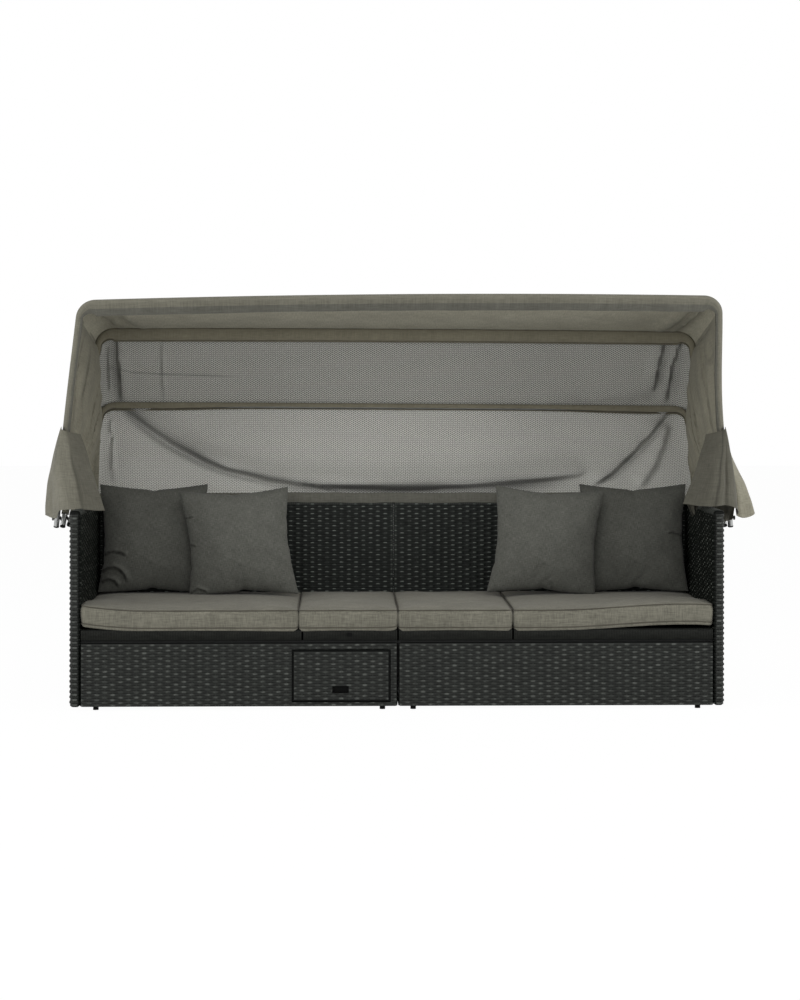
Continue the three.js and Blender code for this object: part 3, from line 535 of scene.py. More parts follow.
def fabric(name, colour, use_uv, thread=0.0016, slub=0.35, sheen=0.06):
    """Plain-woven cloth: threads both ways, short slubs, a soft blotchy tone and painted shade."""
    material, tree, skin = new_material(name)
    base = linear(colour)
    per = 1 / thread
    threads = []
    for along in (0, 1) if use_uv else (0, 2):
        stretch = [per * 0.7] * 3
        stretch[along] = per * 0.07
        threads.append(ranged(tree, speckle(tree, use_uv, stretch, roughness=0.6), 0.30, 0.70))
    both = math_node(tree, "MULTIPLY", math_node(tree, "ADD", threads[0], threads[1]), 0.5)
    toned = colour_mix(tree, both, shade(base, 1 - slub), shade(base, 1 + slub))
    soft = ranged(tree, speckle(tree, use_uv, (9, 9, 9), detail=3.0), 0.25, 0.75, 0.90, 1.10)
    final = scaled(tree, toned, math_node(tree, "MULTIPLY", soft, fold_shade(tree)))
    finish_skin(
        tree, skin, final, both, 0.0006, 0.8,
        Roughness=0.95, Sheen_Weight=sheen, Sheen_Roughness=0.5, Specular_IOR_Level=0.06,
    )
    return material


def fold_shade(tree):
    """Painted shade: cloth is darker where its "tuck" value is high, as in the shade of folds."""
    tuck = put(tree, "Attribute", attribute_name="tuck").outputs["Fac"]
    return ranged(tree, tuck, 0.0, 1.0, 1.0, 0.22)


def net_fabric(name, colour, stitch=0.0072, course=0.0088):
    """Warp-knitted net: zigzag threads, small dark holes between them, and painted shade."""
    material, tree, skin = new_material(name)
    base = linear(colour)
    spread = put(tree, "SeparateXYZ", {0: put(tree, "TexCoord").outputs["UV"]})
    zigzag = math_node(tree, "PINGPONG", spread.outputs[0], stitch)
    v = math_node(tree, "ADD", spread.outputs[1], math_node(tree, "MULTIPLY", zigzag, 0.85))
    rows = math_node(tree, "COSINE", math_node(tree, "MULTIPLY", v, 2 * math.pi / course))
    turns = math_node(tree, "MULTIPLY", spread.outputs[0], 2 * math.pi / stitch)
    columns = math_node(tree, "MULTIPLY", math_node(tree, "COSINE", turns), 0.45)
    hole = ranged(tree, math_node(tree, "ADD", rows, columns), -0.4, 1.1)
    specked = ranged(tree, speckle(tree, True, (260, 330, 260), detail=1.0), 0.3, 0.7, 0.72, 1.3)
    toned = colour_mix(tree, hole, shade(base, 1.35), shade(base, 0.22))
    final = scaled(tree, toned, math_node(tree, "MULTIPLY", specked, fold_shade(tree)))
    finish_skin(
        tree, skin, final, math_node(tree, "SUBTRACT", 1.0, hole), 0.0008, 0.7,
        Roughness=0.8, Sheen_Weight=0.08, Specular_IOR_Level=0.15,
    )
    return material


def wicker_strand(name, colour, valley, glint, gloss=0.48, shine=0.12, bare=0.45):
    """Flat plastic wicker: painted shade in valleys, highlights on crests, fine grooves, satin
    shine.
    """
    material, tree, skin = new_material(name)
    base = linear(colour)
    fine = speckle(tree, False, (60, 60, 700))
    wide = speckle(tree, False, (30, 30, 110))
    crest = put(tree, "Attribute", attribute_name="crest").outputs["Fac"]
    # Painted shade: the colour times valley where the crest is low.
    body = colour_mix(tree, ranged(tree, crest, 0.15, 0.95), shade(base, valley), base)
    # Painted highlight: the glint colour on the highest crests, in patches where the wide noise
    # passes bare.
    tips, spots = ranged(tree, crest, 0.86, 1.0), ranged(tree, wide, bare, bare + 0.17)
    body = colour_mix(tree, math_node(tree, "MULTIPLY", tips, spots), body, linear(glint))
    toned = scaled(tree, body, ranged(tree, wide, 0.3, 0.7, 0.75, 1.3))
    rough = ranged(tree, fine, 0.3, 0.7, gloss - 0.08, gloss + 0.12)
    tree.links.new(rough, skin.inputs["Roughness"])
    finish_skin(tree, skin, toned, fine, 0.0003, 0.6, Specular_IOR_Level=shine)
    return material


def plain_finish(name, colour, rough, metal=0.0, spec=0.5):
    """Moulded plastic, painted steel or bare tube with a fine grain."""
    material, tree, skin = new_material(name)
    base = linear(colour)
    speck = speckle(tree, False, (400, 400, 400))
    cloud = ranged(tree, speckle(tree, False, (14, 14, 14)), 0.3, 0.7)
    toned = colour_mix(tree, cloud, shade(base, 0.9), shade(base, 1.1))
    rub = ranged(tree, speck, 0.3, 0.7, rough - 0.06, rough + 0.06)
    tree.links.new(rub, skin.inputs["Roughness"])
    finish_skin(tree, skin, toned, speck, 0.0002, 0.5, Metallic=metal, Specular_IOR_Level=spec)
    return material


finishes = {}


def make_finishes(colours):
    finishes.update(
        strand=wicker_strand("wicker strand", colours.wicker, 0.52, colours.crest),
        # Darker copies of the strand for the backrest's front and the arms' insides: painted shade.
        strand_back=wicker_strand(
            "wicker strand of the backrest", colours.backrest, 0.45, colours.backrest_crest,
            gloss=0.40, shine=0.08, bare=0.34,
        ),
        strand_inner=wicker_strand(
            "wicker strand inside the arms", colours.inner, 0.5, colours.inner_crest,
            gloss=0.45, shine=0.05, bare=0.46,
        ),
        strand_rim=wicker_strand(
            "wicker strand of the seat rims", colours.rim, 0.35, colours.rim,
            gloss=0.55, shine=0.08,
        ),
        backing=plain_finish("dark ground behind the weave", colours.backing, 0.8, spec=0.05),
        cushion=fabric("seat fabric", colours.cushion, False, thread=0.0030, slub=0.36),
        # The piping is a darker copy of the seat fabric: painted shade.
        piping=fabric("seat piping", colours.piping, False, thread=0.0020, slub=0.2),
        pillow=fabric("pillow fabric", colours.pillow, True, thread=0.0030, slub=0.46, sheen=0.08),
        canopy=fabric("canopy fabric", colours.canopy, True, thread=0.0030, slub=0.26),
        # The roof's copy is lighter: painted light through the cloth.
        canopy_roof=fabric("roof fabric", colours.roof, True, thread=0.0030, slub=0.26),
        # The outside's copy is darker: painted shade.
        canopy_outer=fabric("outer fabric", colours.outer, True, thread=0.0030, slub=0.26),
        canopy_hem=fabric("hem fabric", colours.hem, True, thread=0.0030, slub=0.26),
        canopy_dark=fabric("canopy pocket fabric", colours.pocket, True, thread=0.0026, slub=0.20),
        net=net_fabric("canopy net", colours.net),
        # The upper net is a darker copy of the net: painted shade.
        net_upper=net_fabric("upper canopy net", colours.net_upper),
        steel=plain_finish("painted steel", colours.steel, 0.5, spec=0.25),
        tube=plain_finish("bare tube", colours.tube, 0.45, metal=0.9),
        plastic=plain_finish("moulded plastic", colours.plastic, 0.6, spec=0.06),
    )


# Weave

def strand_tile(pitch, row, width, lift, dome, painted_light_across):
    """Two strands over two stakes, lying flat: x along the strand, y up the panel, z out of it.

    The "crest" written on them says how far each point stands out, from 0 in a valley to 1.
    """
    pieces = []
    steps = np.array([0, 0.20, 0.31, 0.42, 0.62, 1.0])
    under = np.concatenate([steps, 2 - steps[-2::-1]])
    over = np.concatenate([1 - steps[::-1], 1 + steps[1:]])
    ground = 0.0009
    for k, crossing in enumerate((under, over)):
        bpy.ops.mesh.primitive_grid_add(x_subdivisions=len(crossing) - 1, y_subdivisions=3, size=1)
        strand = bpy.context.object
        p = points_of(strand)
        part = np.round((p[:, 1] + 0.5) * 3).astype(int)
        y = np.array([-0.5, -0.33, 0.33, 0.5])[part] * width
        drop = np.array([-dome, 0.0, 0.0, -dome])[part]
        x = crossing[np.round((p[:, 0] + 0.5) * (len(crossing) - 1)).astype(int)] * pitch
        raised = smoothstep(np.cos(math.pi * x / pitch + math.pi * k), 0.1, 0.85)
        set_points(strand, np.stack([x, y + (k + 0.5) * row, ground + 2 * lift * raised + drop], 1))
        # The share across the strand sets where its finish paints shade and highlights.
        write_layer(strand, "crest", raised * np.array(painted_light_across)[part])
        pieces.append(strand)
    return join("strand tile", pieces)


def weave_sheet(name, length, height, sizes, material, painted_light_across=(0.55, 1.0, 1.0, 0.55)):
    """A flat woven sheet, length along x and height along y, standing on the xy plane."""
    across = max(1, round(length / (2 * sizes.stake_pitch)))
    up = max(1, round(height / (2 * sizes.row_pitch)))
    pitch, row = length / (2 * across), height / (2 * up)
    width = sizes.strand_width * row / sizes.row_pitch
    tile = strand_tile(pitch, row, width, sizes.weave_depth / 2, sizes.strand_edge, painted_light_across)
    repeat(tile, across, (2 * pitch, 0, 0))
    repeat(tile, up, (0, 2 * row, 0))
    bpy.ops.mesh.primitive_grid_add(x_subdivisions=2, y_subdivisions=1, size=1)
    stake = bpy.context.object
    p = points_of(stake)
    z = sizes.weave_depth * (0.58 - 1.0 * np.abs(p[:, 0]))
    set_points(stake, np.stack([p[:, 0] * stake_width, (p[:, 1] + 0.5) * height, z], 1))
    # A low crest: the stakes take painted shade in their finish.
    write_layer(stake, "crest", 0.25)
    repeat(stake, 2 * across, (pitch, 0, 0))
    return paint(join(name, [tile, stake]), material)


def wrap_round(sheet, outline, z0):
    """Lays a flat sheet round an outline of (x, y) places.

    The sheet's x runs along the outline, its y goes up and its z goes out.
    """
    outline = np.asarray(outline, float)
    step = np.diff(outline, axis=0)
    far = np.concatenate([[0], np.cumsum(np.linalg.norm(step, axis=1))])
    tangent = np.gradient(outline, axis=0)
    tangent /= np.linalg.norm(tangent, axis=1)[:, None]
    p = points_of(sheet)
    s = np.clip(p[:, 0], 0, far[-1])
    x, y = np.interp(s, far, outline[:, 0]), np.interp(s, far, outline[:, 1])
    tx, ty = np.interp(s, far, tangent[:, 0]), np.interp(s, far, tangent[:, 1])
    size = np.hypot(tx, ty)
    set_points(sheet, np.stack([x + ty / size * p[:, 2], y - tx / size * p[:, 2], z0 + p[:, 1]], 1))
    return smooth(sheet)


def outline_length(outline):
    return float(np.linalg.norm(np.diff(np.asarray(outline, float), axis=0), axis=1).sum())


def straight(x0, x1, y0, y1, steps=2):
    return [(x0 + (x1 - x0) * k / steps, y0 + (y1 - y0) * k / steps) for k in range(steps + 1)]


def arc_points(centre_x, centre_y, radius, first, last, steps):
    """Points round a corner, from one angle to another in degrees."""
    angles = [math.radians(first + (last - first) * k / steps) for k in range(steps + 1)]
    return [(centre_x + radius * math.cos(a), centre_y + radius * math.sin(a)) for a in angles]


def round_block(x0, x1, y0, y1, radius):
    """A rounded block's closed outline, counter-clockwise from the middle of its front."""
    left, right, front, back = x0 + radius, x1 - radius, y0 + radius, y1 - radius
    points = [((x0 + x1) / 2, y0)]
    corners = ((right, front, -90), (right, back, 0), (left, back, 90), (left, front, 180))
    for x, y, first in corners:
        points += arc_points(x, y, radius, first, first + 90, 6)
    points.append(points[0])
    return points


def wrapped_edge(name, along, profile, pitch, width, material):
    """Bands of wicker laid side by side over an edge.

    along is (start, end, axis); profile is the (out, up) line that a band follows.
    """
    start, end, axis = along
    count = max(1, round((end - start) / pitch))
    step = (end - start) / count
    profile = np.asarray(profile, float)
    tangent = np.gradient(profile, axis=0)
    tangent /= np.linalg.norm(tangent, axis=1)[:, None]
    normal = np.stack([-tangent[:, 1], tangent[:, 0]], 1)
    rows = []
    for share, drop in ((-0.5, 0.0009), (-0.3, 0), (0.3, 0), (0.5, 0.0009)):
        place = profile - normal * drop
        rows.append(np.stack([np.full(len(profile), share * width), place[:, 0], place[:, 1]], 1))
    grid = np.stack(rows)
    index = np.arange(grid.shape[0] * grid.shape[1]).reshape(grid.shape[:2])
    cells = np.stack([index[:-1, :-1], index[1:, :-1], index[1:, 1:], index[:-1, 1:]], -1)
    points = grid.reshape(-1, 3).copy()
    points[:, 0] += start + step / 2
    band = solid_of(name, points, cells.reshape(-1, 4).tolist())
    # Lower crests at the bands' edges: painted shade there in their finish.
    write_layer(band, "crest", np.repeat([0.25, 0.8, 0.8, 0.25], len(profile)))
    repeat(band, count, (step, 0, 0))
    order = {"x": (0, 1, 2), "y": (1, 0, 2), "z": (1, 2, 0)}[axis]
    set_points(band, points_of(band)[:, order])
    return smooth(paint(band, material))


def over_top(low, high, top):
    """The line over a panel's top edge, from one face to the other, seen along the edge."""
    radius, height = panel_radius + rim_lift, top - panel_radius
    line = [(low - rim_lift, top - rim_reach)]
    line += arc_points(low + panel_radius, height, radius, 180, 90, 6)
    line += arc_points(high - panel_radius, height, radius, 90, 0, 6)
    line.append((high + rim_lift, top - rim_reach))
    return line


def edge_rim(name, along, line):
    """The bands over a panel's top edge."""
    return wrapped_edge(name, along, line, rim_pitch, rim_width, finishes["strand"])


def weave_arm(side, sizes):
    node = f"arm_{side}"
    low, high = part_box(node)
    outline = round_block(low.x, high.x, low.y, high.y, panel_radius)
    foot, top = low.z + weave_foot, high.z - weave_top
    length, height = outline_length(outline), top - foot
    sheet = weave_sheet(f"arm_weave_{side}", length, height, sizes, finishes["strand"])
    wrap_round(sheet, outline, foot)
    inner = high.x if side == "left" else low.x
    # The inside face takes the darker strand: painted shade.
    at_inner_face = np.abs(face_centres(sheet)[:, 0] - inner) < 0.008
    sheet.data.materials.append(finishes["strand_inner"])
    sheet.data.polygons.foreach_set("material_index", at_inner_face.astype(int))
    along = (low.y + 0.006, high.y - 0.006, "y")
    rim = edge_rim(f"arm_rim_{side}", along, over_top(low.x, high.x, high.z))
    for piece in (sheet, rim):
        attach(piece, "base")
    repaint(node, finishes["backing"])


def weave_back(side, sizes):
    """The backrest's panel: its front face starts at the seat and its rear face at the foot."""
    node = f"back_panel_{side}"
    low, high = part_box(node)
    foot, top = low.z + weave_foot, high.z - weave_top
    x0, x1 = low.x + 0.003, high.x - 0.003
    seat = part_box("seat_frame_1")[1].z
    # The front takes the darker strand, painted shade, with painted highlights near upper edges.
    front = (straight(x0, x1, low.y, low.y), seat, (0.10, 0.50, 1.0, 0.70), "strand_back")
    rear = (straight(x1, x0, high.y, high.y), foot, (0.55, 1.0, 1.0, 0.55), "strand")
    for face, (line, start, painted_light_across, finish) in (("front", front), ("rear", rear)):
        name = f"back_weave_{face}_{side}"
        sheet = weave_sheet(name, x1 - x0, top - start, sizes, finishes[finish], painted_light_across=painted_light_across)
        wrap_round(sheet, line, start)
        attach(sheet, "base")
    ends = ((low.x, -1), (high.x, 1))
    turns = [turned_end(x, sign, low.y, high.y, (foot, top), sizes) for x, sign in ends]
    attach(join(f"back_end_turns_{side}", turns), "base")
    along = (low.x + 0.002, high.x - 0.002, "x")
    rim = edge_rim(f"back_rim_{side}", along, over_top(low.y, high.y, high.z))
    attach(rim, "base")
    repaint(node, finishes["backing"])


def turned_end(x, sign, y0, y1, heights, sizes):
    """Strands turned round the end of a panel one by one, with slits of light between them."""
    lift, width = 0.00145, 0.0080
    far, near, out = x - sign * 0.010, x - sign * 0.002, x + sign * lift
    line = [(far, y0 - 0.003), (near, y0 - 0.003), (out, y0 + 0.002)]
    line += [(out, y1 - 0.002), (near, y1 + 0.003), (far, y1 + 0.003)]
    line = line if sign < 0 else line[::-1]
    material = finishes["strand_back"]
    return wrapped_edge("end turns", (*heights, "z"), line, sizes.row_pitch, width, material)


def weave_face(name, node, end_gap, foot_gap, top_gap, sizes):
    """Weave over a node's front face, short of its ends, its foot and its top by the gaps."""
    low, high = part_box(node)
    x0, x1, z0, z1 = low.x + end_gap, high.x - end_gap, low.z + foot_gap, high.z - top_gap
    sheet = weave_sheet(name, x1 - x0, z1 - z0, sizes, finishes["strand"])
    return wrap_round(sheet, straight(x0, x1, low.y, low.y), z0)


def weave_front(side, sizes):
    node = f"front_panel_{side}"
    sheet = weave_face(f"front_weave_{side}", node, 0.004, 0.002, 0.003, sizes)
    if side == "left":
        cut_window(sheet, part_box("drawer_front"), drawer_gap)
    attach(sheet, "base")
    repaint(node, finishes["backing"])


def cut_window(sheet, window, gap):
    """Takes the strands away where a window is."""
    low, high = window
    left, right, foot, top = low.x - gap, high.x + gap, low.z - gap, high.z + gap
    only(sheet)
    bpy.ops.object.mode_set(mode="EDIT")
    for normal, places in (((1, 0, 0), (left, right)), ((0, 0, 1), (foot, top))):
        for place in places:
            bpy.ops.mesh.select_all(action="SELECT")
            bpy.ops.mesh.bisect(plane_co=tuple(a * place for a in normal), plane_no=normal)
    bpy.ops.mesh.select_all(action="DESELECT")
    bpy.ops.object.mode_set(mode="OBJECT")
    x, _, z = face_centres(sheet).T
    sheet.data.polygons.foreach_set("select", (x > left) & (x < right) & (z > foot) & (z < top))
    bpy.ops.object.mode_set(mode="EDIT")
    bpy.ops.mesh.select_mode(type="FACE")
    bpy.ops.mesh.delete(type="FACE")
    bpy.ops.object.mode_set(mode="OBJECT")


def weave_drawer(sizes):
    sheet = weave_face("drawer_weave", "drawer_front", 0.0045, 0.0045, 0.005, sizes)
    cut_window(sheet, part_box("drawer_pull"), 0.0)
    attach(sheet, "drawer")
    repaint("drawer_front", finishes["backing"])
    repaint("drawer_pull", finishes["plastic"])
    repaint("drawer_box", finishes["plastic"])


def wrap_seat(index):
    """Wicker wound side by side round the front rail of a seat section."""
    node = f"seat_frame_{index}"
    low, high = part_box(node)
    lift, pitch, width = 0.0012, 0.0058, 0.0054
    top, under = high.z + lift, low.z - 0.0002
    line = [(low.y + 0.016, under), (low.y + 0.004, under), (low.y - lift, low.z + 0.004)]
    line += [(low.y - lift, high.z - 0.004), (low.y + 0.004, top), (low.y + 0.016, top)]
    along = (low.x + 0.002, high.x - 0.002, "x")
    rail = wrapped_edge(f"seat_wrap_{index}", along, line, pitch, width, finishes["strand_rim"])
    body = "lid_section" if index == 2 else "base"
    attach(rail, body)
    repaint(node, finishes["backing"])


# Cushions

def cushion_outline(x0, x1, y0, y1, radius, count=240):
    """A rounded rectangle with finely divided sides."""
    left, right, front, back = x0 + radius, x1 - radius, y0 + radius, y1 - radius
    arc_steps = 12
    outline = []
    for x, y, first, end in (
        (right, front, -90, (x1, back)), (right, back, 0, (left, y1)),
        (left, back, 90, (x0, front)), (left, front, 180, (right, y0)),
    ):
        outline += arc_points(x, y, radius, first, first + 90, arc_steps)
        last = outline[-1]
        outline += straight(last[0], end[0], last[1], end[1], count // 4 - arc_steps)[1:-1]
    return np.array(outline)


def capped(name, grid, foot, top):
    """Skins rings of points and closes them with fans to a point below and a point above."""
    point_index, faces = ring_faces(*grid.shape[:2])
    points = [*grid.reshape(-1, 3), foot, top]
    first, last = point_index[0].tolist(), point_index[-1].tolist()
    for k in range(len(first)):
        faces.append((first[k], first[k - 1], len(points) - 2))
        faces.append((last[k - 1], last[k], len(points) - 1))
    return smooth(outward(solid_of(name, points, faces)))


def seat_cushion(index, sizes):
    """A piped cushion: its sides bulge and draw in at the piping, and its top is crowned."""
    node = f"cushion_{index}"
    low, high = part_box(node)
    edge, crown = cushion_edge, cushion_crown
    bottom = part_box(f"seat_frame_{index}")[1].z + 0.0006
    grow_left, grow_right = 0.0015 * (index in (2, 3)), 0.0015 * (index in (1, 2))
    outline = cushion_outline(low.x - grow_left, high.x + grow_right, low.y, high.y, 0.016)
    middle = np.array([(low.x + high.x) / 2, (low.y + high.y) / 2])
    half = np.array([(high.x - low.x) / 2, (high.y - low.y) / 2])
    offset = (outline - middle) / half
    pull = sizes.cushion_draw_in * (1 - np.abs(offset).min(1) ** 2) * 0.5
    grow = offset / np.linalg.norm(offset, axis=1)[:, None]

    def curled(points):
        """Hangs the lower front edge over the rim, and lifts the corners that stand up in front."""
        x, y, z = points[..., 0], points[..., 1], points[..., 2]
        at_front = 1 - smoothstep(y, front_y + 0.004, front_y + 0.030)
        hang = at_front * (1 - smoothstep(z, bottom + 0.002, bottom + 0.022))
        z -= 0.0085 * hang
        y -= 0.0015 * hang
        fade = 1 - smoothstep(y, front_y + 0.12, front_y + 0.43)
        if index == 1:
            share = np.clip((-x - inner_half + 0.252) / 0.250, 0, None)
            z += 0.019 * share ** 2 * fade
        elif index == 4:
            z += (0.021 * smoothstep(x, 0.56, 1.02) - 0.003 * smoothstep(x, 1.06, 1.13)) * fade
        elif index == 2:
            share = np.clip((x - high.x + 0.05) / 0.05, 0, 1)
            fade = 1 - smoothstep(y, front_y + 0.03, front_y + 0.15)
            z += 0.006 * share ** 2 * fade * smoothstep(-z, -bottom - 0.05, -bottom)
        return points

    def ring(inset, z):
        xy = outline - grow * (inset + pull[:, None])
        return np.column_stack([xy, np.full(len(xy), z)])

    rise = [0.0, 0.002, 0.008, 0.0105, 0.013, 0.022, 0.035, 0.048, 0.058, 0.0625, 0.066]
    swell = [-0.012, -0.004, -0.0005, -0.0028, -0.0005, 0.0015, 0.003, 0.003, 0.001, -0.001, -0.0035]
    rings = [ring(-b, bottom + z) for z, b in zip(rise, swell)]
    for inset in (0.0045, 0.008, 0.014, 0.024, 0.038, 0.056, 0.078):
        rings.append(ring(inset, bottom + edge - 0.0035 + crown * (1 - math.exp(-inset / 0.05))))
    edge_ring = rings[-1].copy()
    layers = 26
    for k in range(1, layers):
        share = k / layers
        xy = middle + (edge_ring[:, :2] - middle) * (1 - share)
        z = edge_ring[:, 2] + (bottom + edge + crown - edge_ring[:, 2]) * (1 - (1 - share) ** 2)
        rings.append(np.column_stack([xy, z]))
    grid = np.stack(rings)
    soft = wander(grid, 9.0, index) * 0.0016 + wander(grid, 26.0, index + 9) * 0.0007
    side = smoothstep(grid[..., 2], bottom + 0.004, bottom + 0.02)
    grid[..., 2] += soft * side
    waves = wander(grid * [1, 1, 0.4], 15.0, index + 20) * 0.0022
    border = side * (1 - smoothstep(grid[..., 2], bottom + 0.058, bottom + 0.064))
    grid[..., 1] -= waves * border
    foot, top = (*middle, bottom), (*middle, bottom + edge + crown)
    cushion = paint(capped(f"seat_cushion_{index}", curled(grid), foot, top), finishes["cushion"])
    piping = []
    for z, inset in ((0.0105, 0.0012), (0.0668, 0.0024)):
        path = curled(ring(inset, bottom + z))
        path[:, 2] += wander(path, 12.0, index + 40) * 0.001
        piping.append(ring_tube(f"cushion piping {index}", path, sizes.piping_radius))
    cord = paint(join(f"cushion_piping_{index}", piping), finishes["piping"])
    body = "lid_section" if index == 2 else "base"
    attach(cushion, body)
    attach(cord, body)
    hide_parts(node)


# Pillows

def pillow_blank(cells):
    """Two square faces of cloth that share their edge."""
    bpy.ops.mesh.primitive_grid_add(x_subdivisions=cells, y_subdivisions=cells, size=1)
    face = bpy.context.object
    p = points_of(face)
    x, y = p[:, 0] * 2, p[:, 1] * 2
    width = 1 - 0.035 * (1 - y ** 2)
    height = 1 - 0.035 * (1 - x ** 2)
    lift = 0.012 * (1 - x ** 8) * (1 - y ** 8)
    flat = np.stack([x * width * cover_half[0], y * height * cover_half[1], lift], 1)
    set_points(face, flat)
    only(face)
    bpy.ops.object.duplicate()
    other = bpy.context.object
    flat[:, 2] *= -1
    set_points(other, flat)
    return outward(join("pillow blank", [face, other]))


def stuff(pillow):
    """Blows the pillow up as cloth, so that its seams pull in and its corners stand out."""
    only(pillow)
    cloth_modifier = pillow.modifiers.new("stuffing", "CLOTH")
    settings = cloth_modifier.settings
    settings.quality = 6
    settings.mass = 0.25
    settings.tension_stiffness = 22
    settings.compression_stiffness = 22
    settings.shear_stiffness = 8
    settings.bending_stiffness = 0.6
    settings.air_damping = 3
    settings.use_pressure = True
    settings.uniform_pressure_force = 7
    settings.effector_weights.gravity = 0
    cloth_modifier.collision_settings.use_collision = False
    scene = bpy.context.scene
    for step in range(1, stuffing_frames + 1):
        scene.frame_set(step)
    bpy.ops.object.modifier_apply(modifier=cloth_modifier.name)
    scene.frame_set(1)


def swollen(flat):
    """The flat blank's points, filled to a plain pillow shape."""
    p = flat.copy()
    x, y = np.clip(p[:, :2] / cover_half, -1, 1).T
    full = np.clip((1 - x ** 2) * (1 - y ** 2), 0, 1) ** 0.6
    p[:, 2] = np.sign(p[:, 2]) * np.maximum(np.abs(p[:, 2]) * 0.2, 0.059 * full)
    return p


def fitted(points, size):
    """The points moved to the middle and scaled to a size."""
    low, high = points.min(0), points.max(0)
    return (points - (high + low) / 2) * (np.array(size) / (high - low))


def scatter_pillow(name, source, centre_x, lean, slump, turn, tall, creases, seed, shade):
    """A copy of the filled blank, creased, leant back and set down on its cushion."""
    low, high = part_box(f"pillow_{name}")
    pillow = source.copy()
    pillow.data = source.data.copy()
    bpy.context.scene.collection.objects.link(pillow)
    pillow.name = f"scatter_pillow_{name}"
    p = points_of(pillow)
    x, up, out = p[:, 0], p[:, 1] * tall, p[:, 2]
    half_wide, half_tall = pillow_half
    share = up / half_tall
    ripple = wander(p, 11.0, seed) * 0.004 + wander(p, 30.0, seed + 3) * 0.0012
    edge = np.minimum(1 - np.abs(x) / half_wide, 1 - np.abs(up) / half_tall)
    out = out + np.sign(out) * ripple * smoothstep(edge, 0.02, 0.2)
    # Painted shade: some all over, darker towards the edges, and along the creases.
    painted_shade = shade + 0.34 * np.exp(-np.clip(edge, 0, None) / 0.10)
    for line, width, height in creases:
        out = np.where(out > 0, out + crease(x, up, line, width, height), out)
        painted_shade = painted_shade + np.where(out > 0, tuck_shade(x, up, line, width, 0.65), 0)
    out = out * (1 + 0.12 * smoothstep(-up, 0.12, half_tall))
    x = x + slump * share
    cos, sin = math.cos(math.radians(turn)), math.sin(math.radians(turn))
    x, up = x * cos - up * sin, x * sin + up * cos
    cos, sin = math.cos(math.radians(lean)), math.sin(math.radians(lean))
    y, z = -out * cos + up * sin, up * cos + out * sin
    placed = np.stack([x + centre_x, y + (low.y + high.y) / 2, z], 1)
    rest = low.z - 0.004
    placed[:, 2] += rest - np.percentile(placed[:, 2], 0.5)
    height = placed[:, 2] - rest
    pressed = rest + np.maximum(0, height) * 0.6 + 0.004
    placed[:, 2] = np.where(height < 0.012, pressed, placed[:, 2])
    set_points(pillow, placed)
    write_layer(pillow, "tuck", np.clip(painted_shade, 0, 1))
    smooth(paint(pillow, finishes["pillow"]))
    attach(pillow, "base")
    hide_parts(f"pillow_{name}")


# Bows and their cloth

class Bow:
    """A tube hoop that turns on the pivot axis."""

    def __init__(self, pivot_x, top_x, back, rise, arch, tilt, give):
        self.pivot_x, self.top_x, self.arch, self.tilt, self.give = pivot_x, top_x, arch, tilt, give
        self.reach = math.hypot(back, rise)
        self.lean = math.atan2(back, rise)
        self.start = 0.0
        for _ in range(6):
            x = top_x - bow_corner + bow_corner * math.cos(self.start)
            q = self.reach - bow_corner + bow_corner * math.sin(self.start)
            self.start = math.atan2(pivot_x - x, q)

    def leg_x(self, q):
        return self.pivot_x - q * math.tan(self.start)

    def leg(self, q):
        """A place on the right leg: x, distance from the pivots, normal, and share of the corner."""
        return (self.leg_x(q), q, math.cos(self.start), math.sin(self.start), 0.0)

    def drift(self, q, side):
        """How far the pull of the cloth moves the bow sideways at a distance from the pivots."""
        share = min(max(q / self.reach, 0), 1)
        bend = self.give * 16 * share ** 2 * (1 - share) ** 2
        return bow_sway * q / front_reach - (leg_bend + side * leg_pinch) * bend

    def hoop(self, corner_steps, bar_steps):
        """Places from the start of the right corner over the bar to that of the left corner."""
        half = []
        cx, cq = self.top_x - bow_corner, self.reach - bow_corner
        for k in range(corner_steps + 1):
            angle = self.start + (math.pi / 2 - self.start) * k / corner_steps
            nx, nq = math.cos(angle), math.sin(angle)
            half.append((cx + bow_corner * nx, cq + bow_corner * nq, nx, nq, k / corner_steps))
        bar = []
        for k in range(1, bar_steps):
            share = 1 - 2 * k / bar_steps
            bar.append((cx * share, self.reach + self.arch * (1 - share * share), 0.0, 1.0, 1.0))
        left = [(-x, q, -nx, nq, turn) for x, q, nx, nq, turn in reversed(half)]
        return half + bar + left

    def path(self, low_end, corner_steps=8, bar_steps=24, leg_steps=1):
        """Places from the end of the right leg over the bar to the end of the left leg."""
        over = self.hoop(corner_steps, bar_steps)
        corner_q = over[0][1]
        legs = [self.leg(low_end + (corner_q - low_end) * k / leg_steps) for k in range(leg_steps)]
        left = [(-x, q, -nx, nq, turn) for x, q, nx, nq, turn in reversed(legs)]
        return legs + over + left

    def at(self, place, out=0.0, back=0.0):
        """A place of the bow in the frame, moved out of the hoop and back from its plane."""
        x, q, nx, nq, _ = place
        side = max(-1, min(1, x / (self.top_x - bow_corner)))
        q_bow = q
        q = q + nq * out + self.tilt * side * q_bow / self.reach
        x = x + nx * out + self.drift(q_bow, side)
        sin, cos = math.sin(self.lean), math.cos(self.lean)
        return (x, pivot_y + q * sin + back * cos, pivot_z + q * cos - back * sin)

    def edge(self, out, back, corner_steps, bar_steps):
        return np.array([self.at(place, out, back) for place in self.hoop(corner_steps, bar_steps)])


def nested_bows():
    """The three bows, each with its corners inside the legs of the bow that folds over it."""
    made = {}
    outer, top_x = None, outer_half + 0.013
    for name, (back, rise, arch, tilt, give) in bow_sizes.items():
        if outer:
            top_x = outer.leg_x(math.hypot(back, rise) - bow_corner) - bow_nest
        plug_low, plug_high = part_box(f"plug_{name}_right")
        outer = Bow((plug_low.x + plug_high.x) / 2 - 0.0035, top_x, back, rise, arch, tilt, give)
        made[name] = outer
    return made


bows = nested_bows()


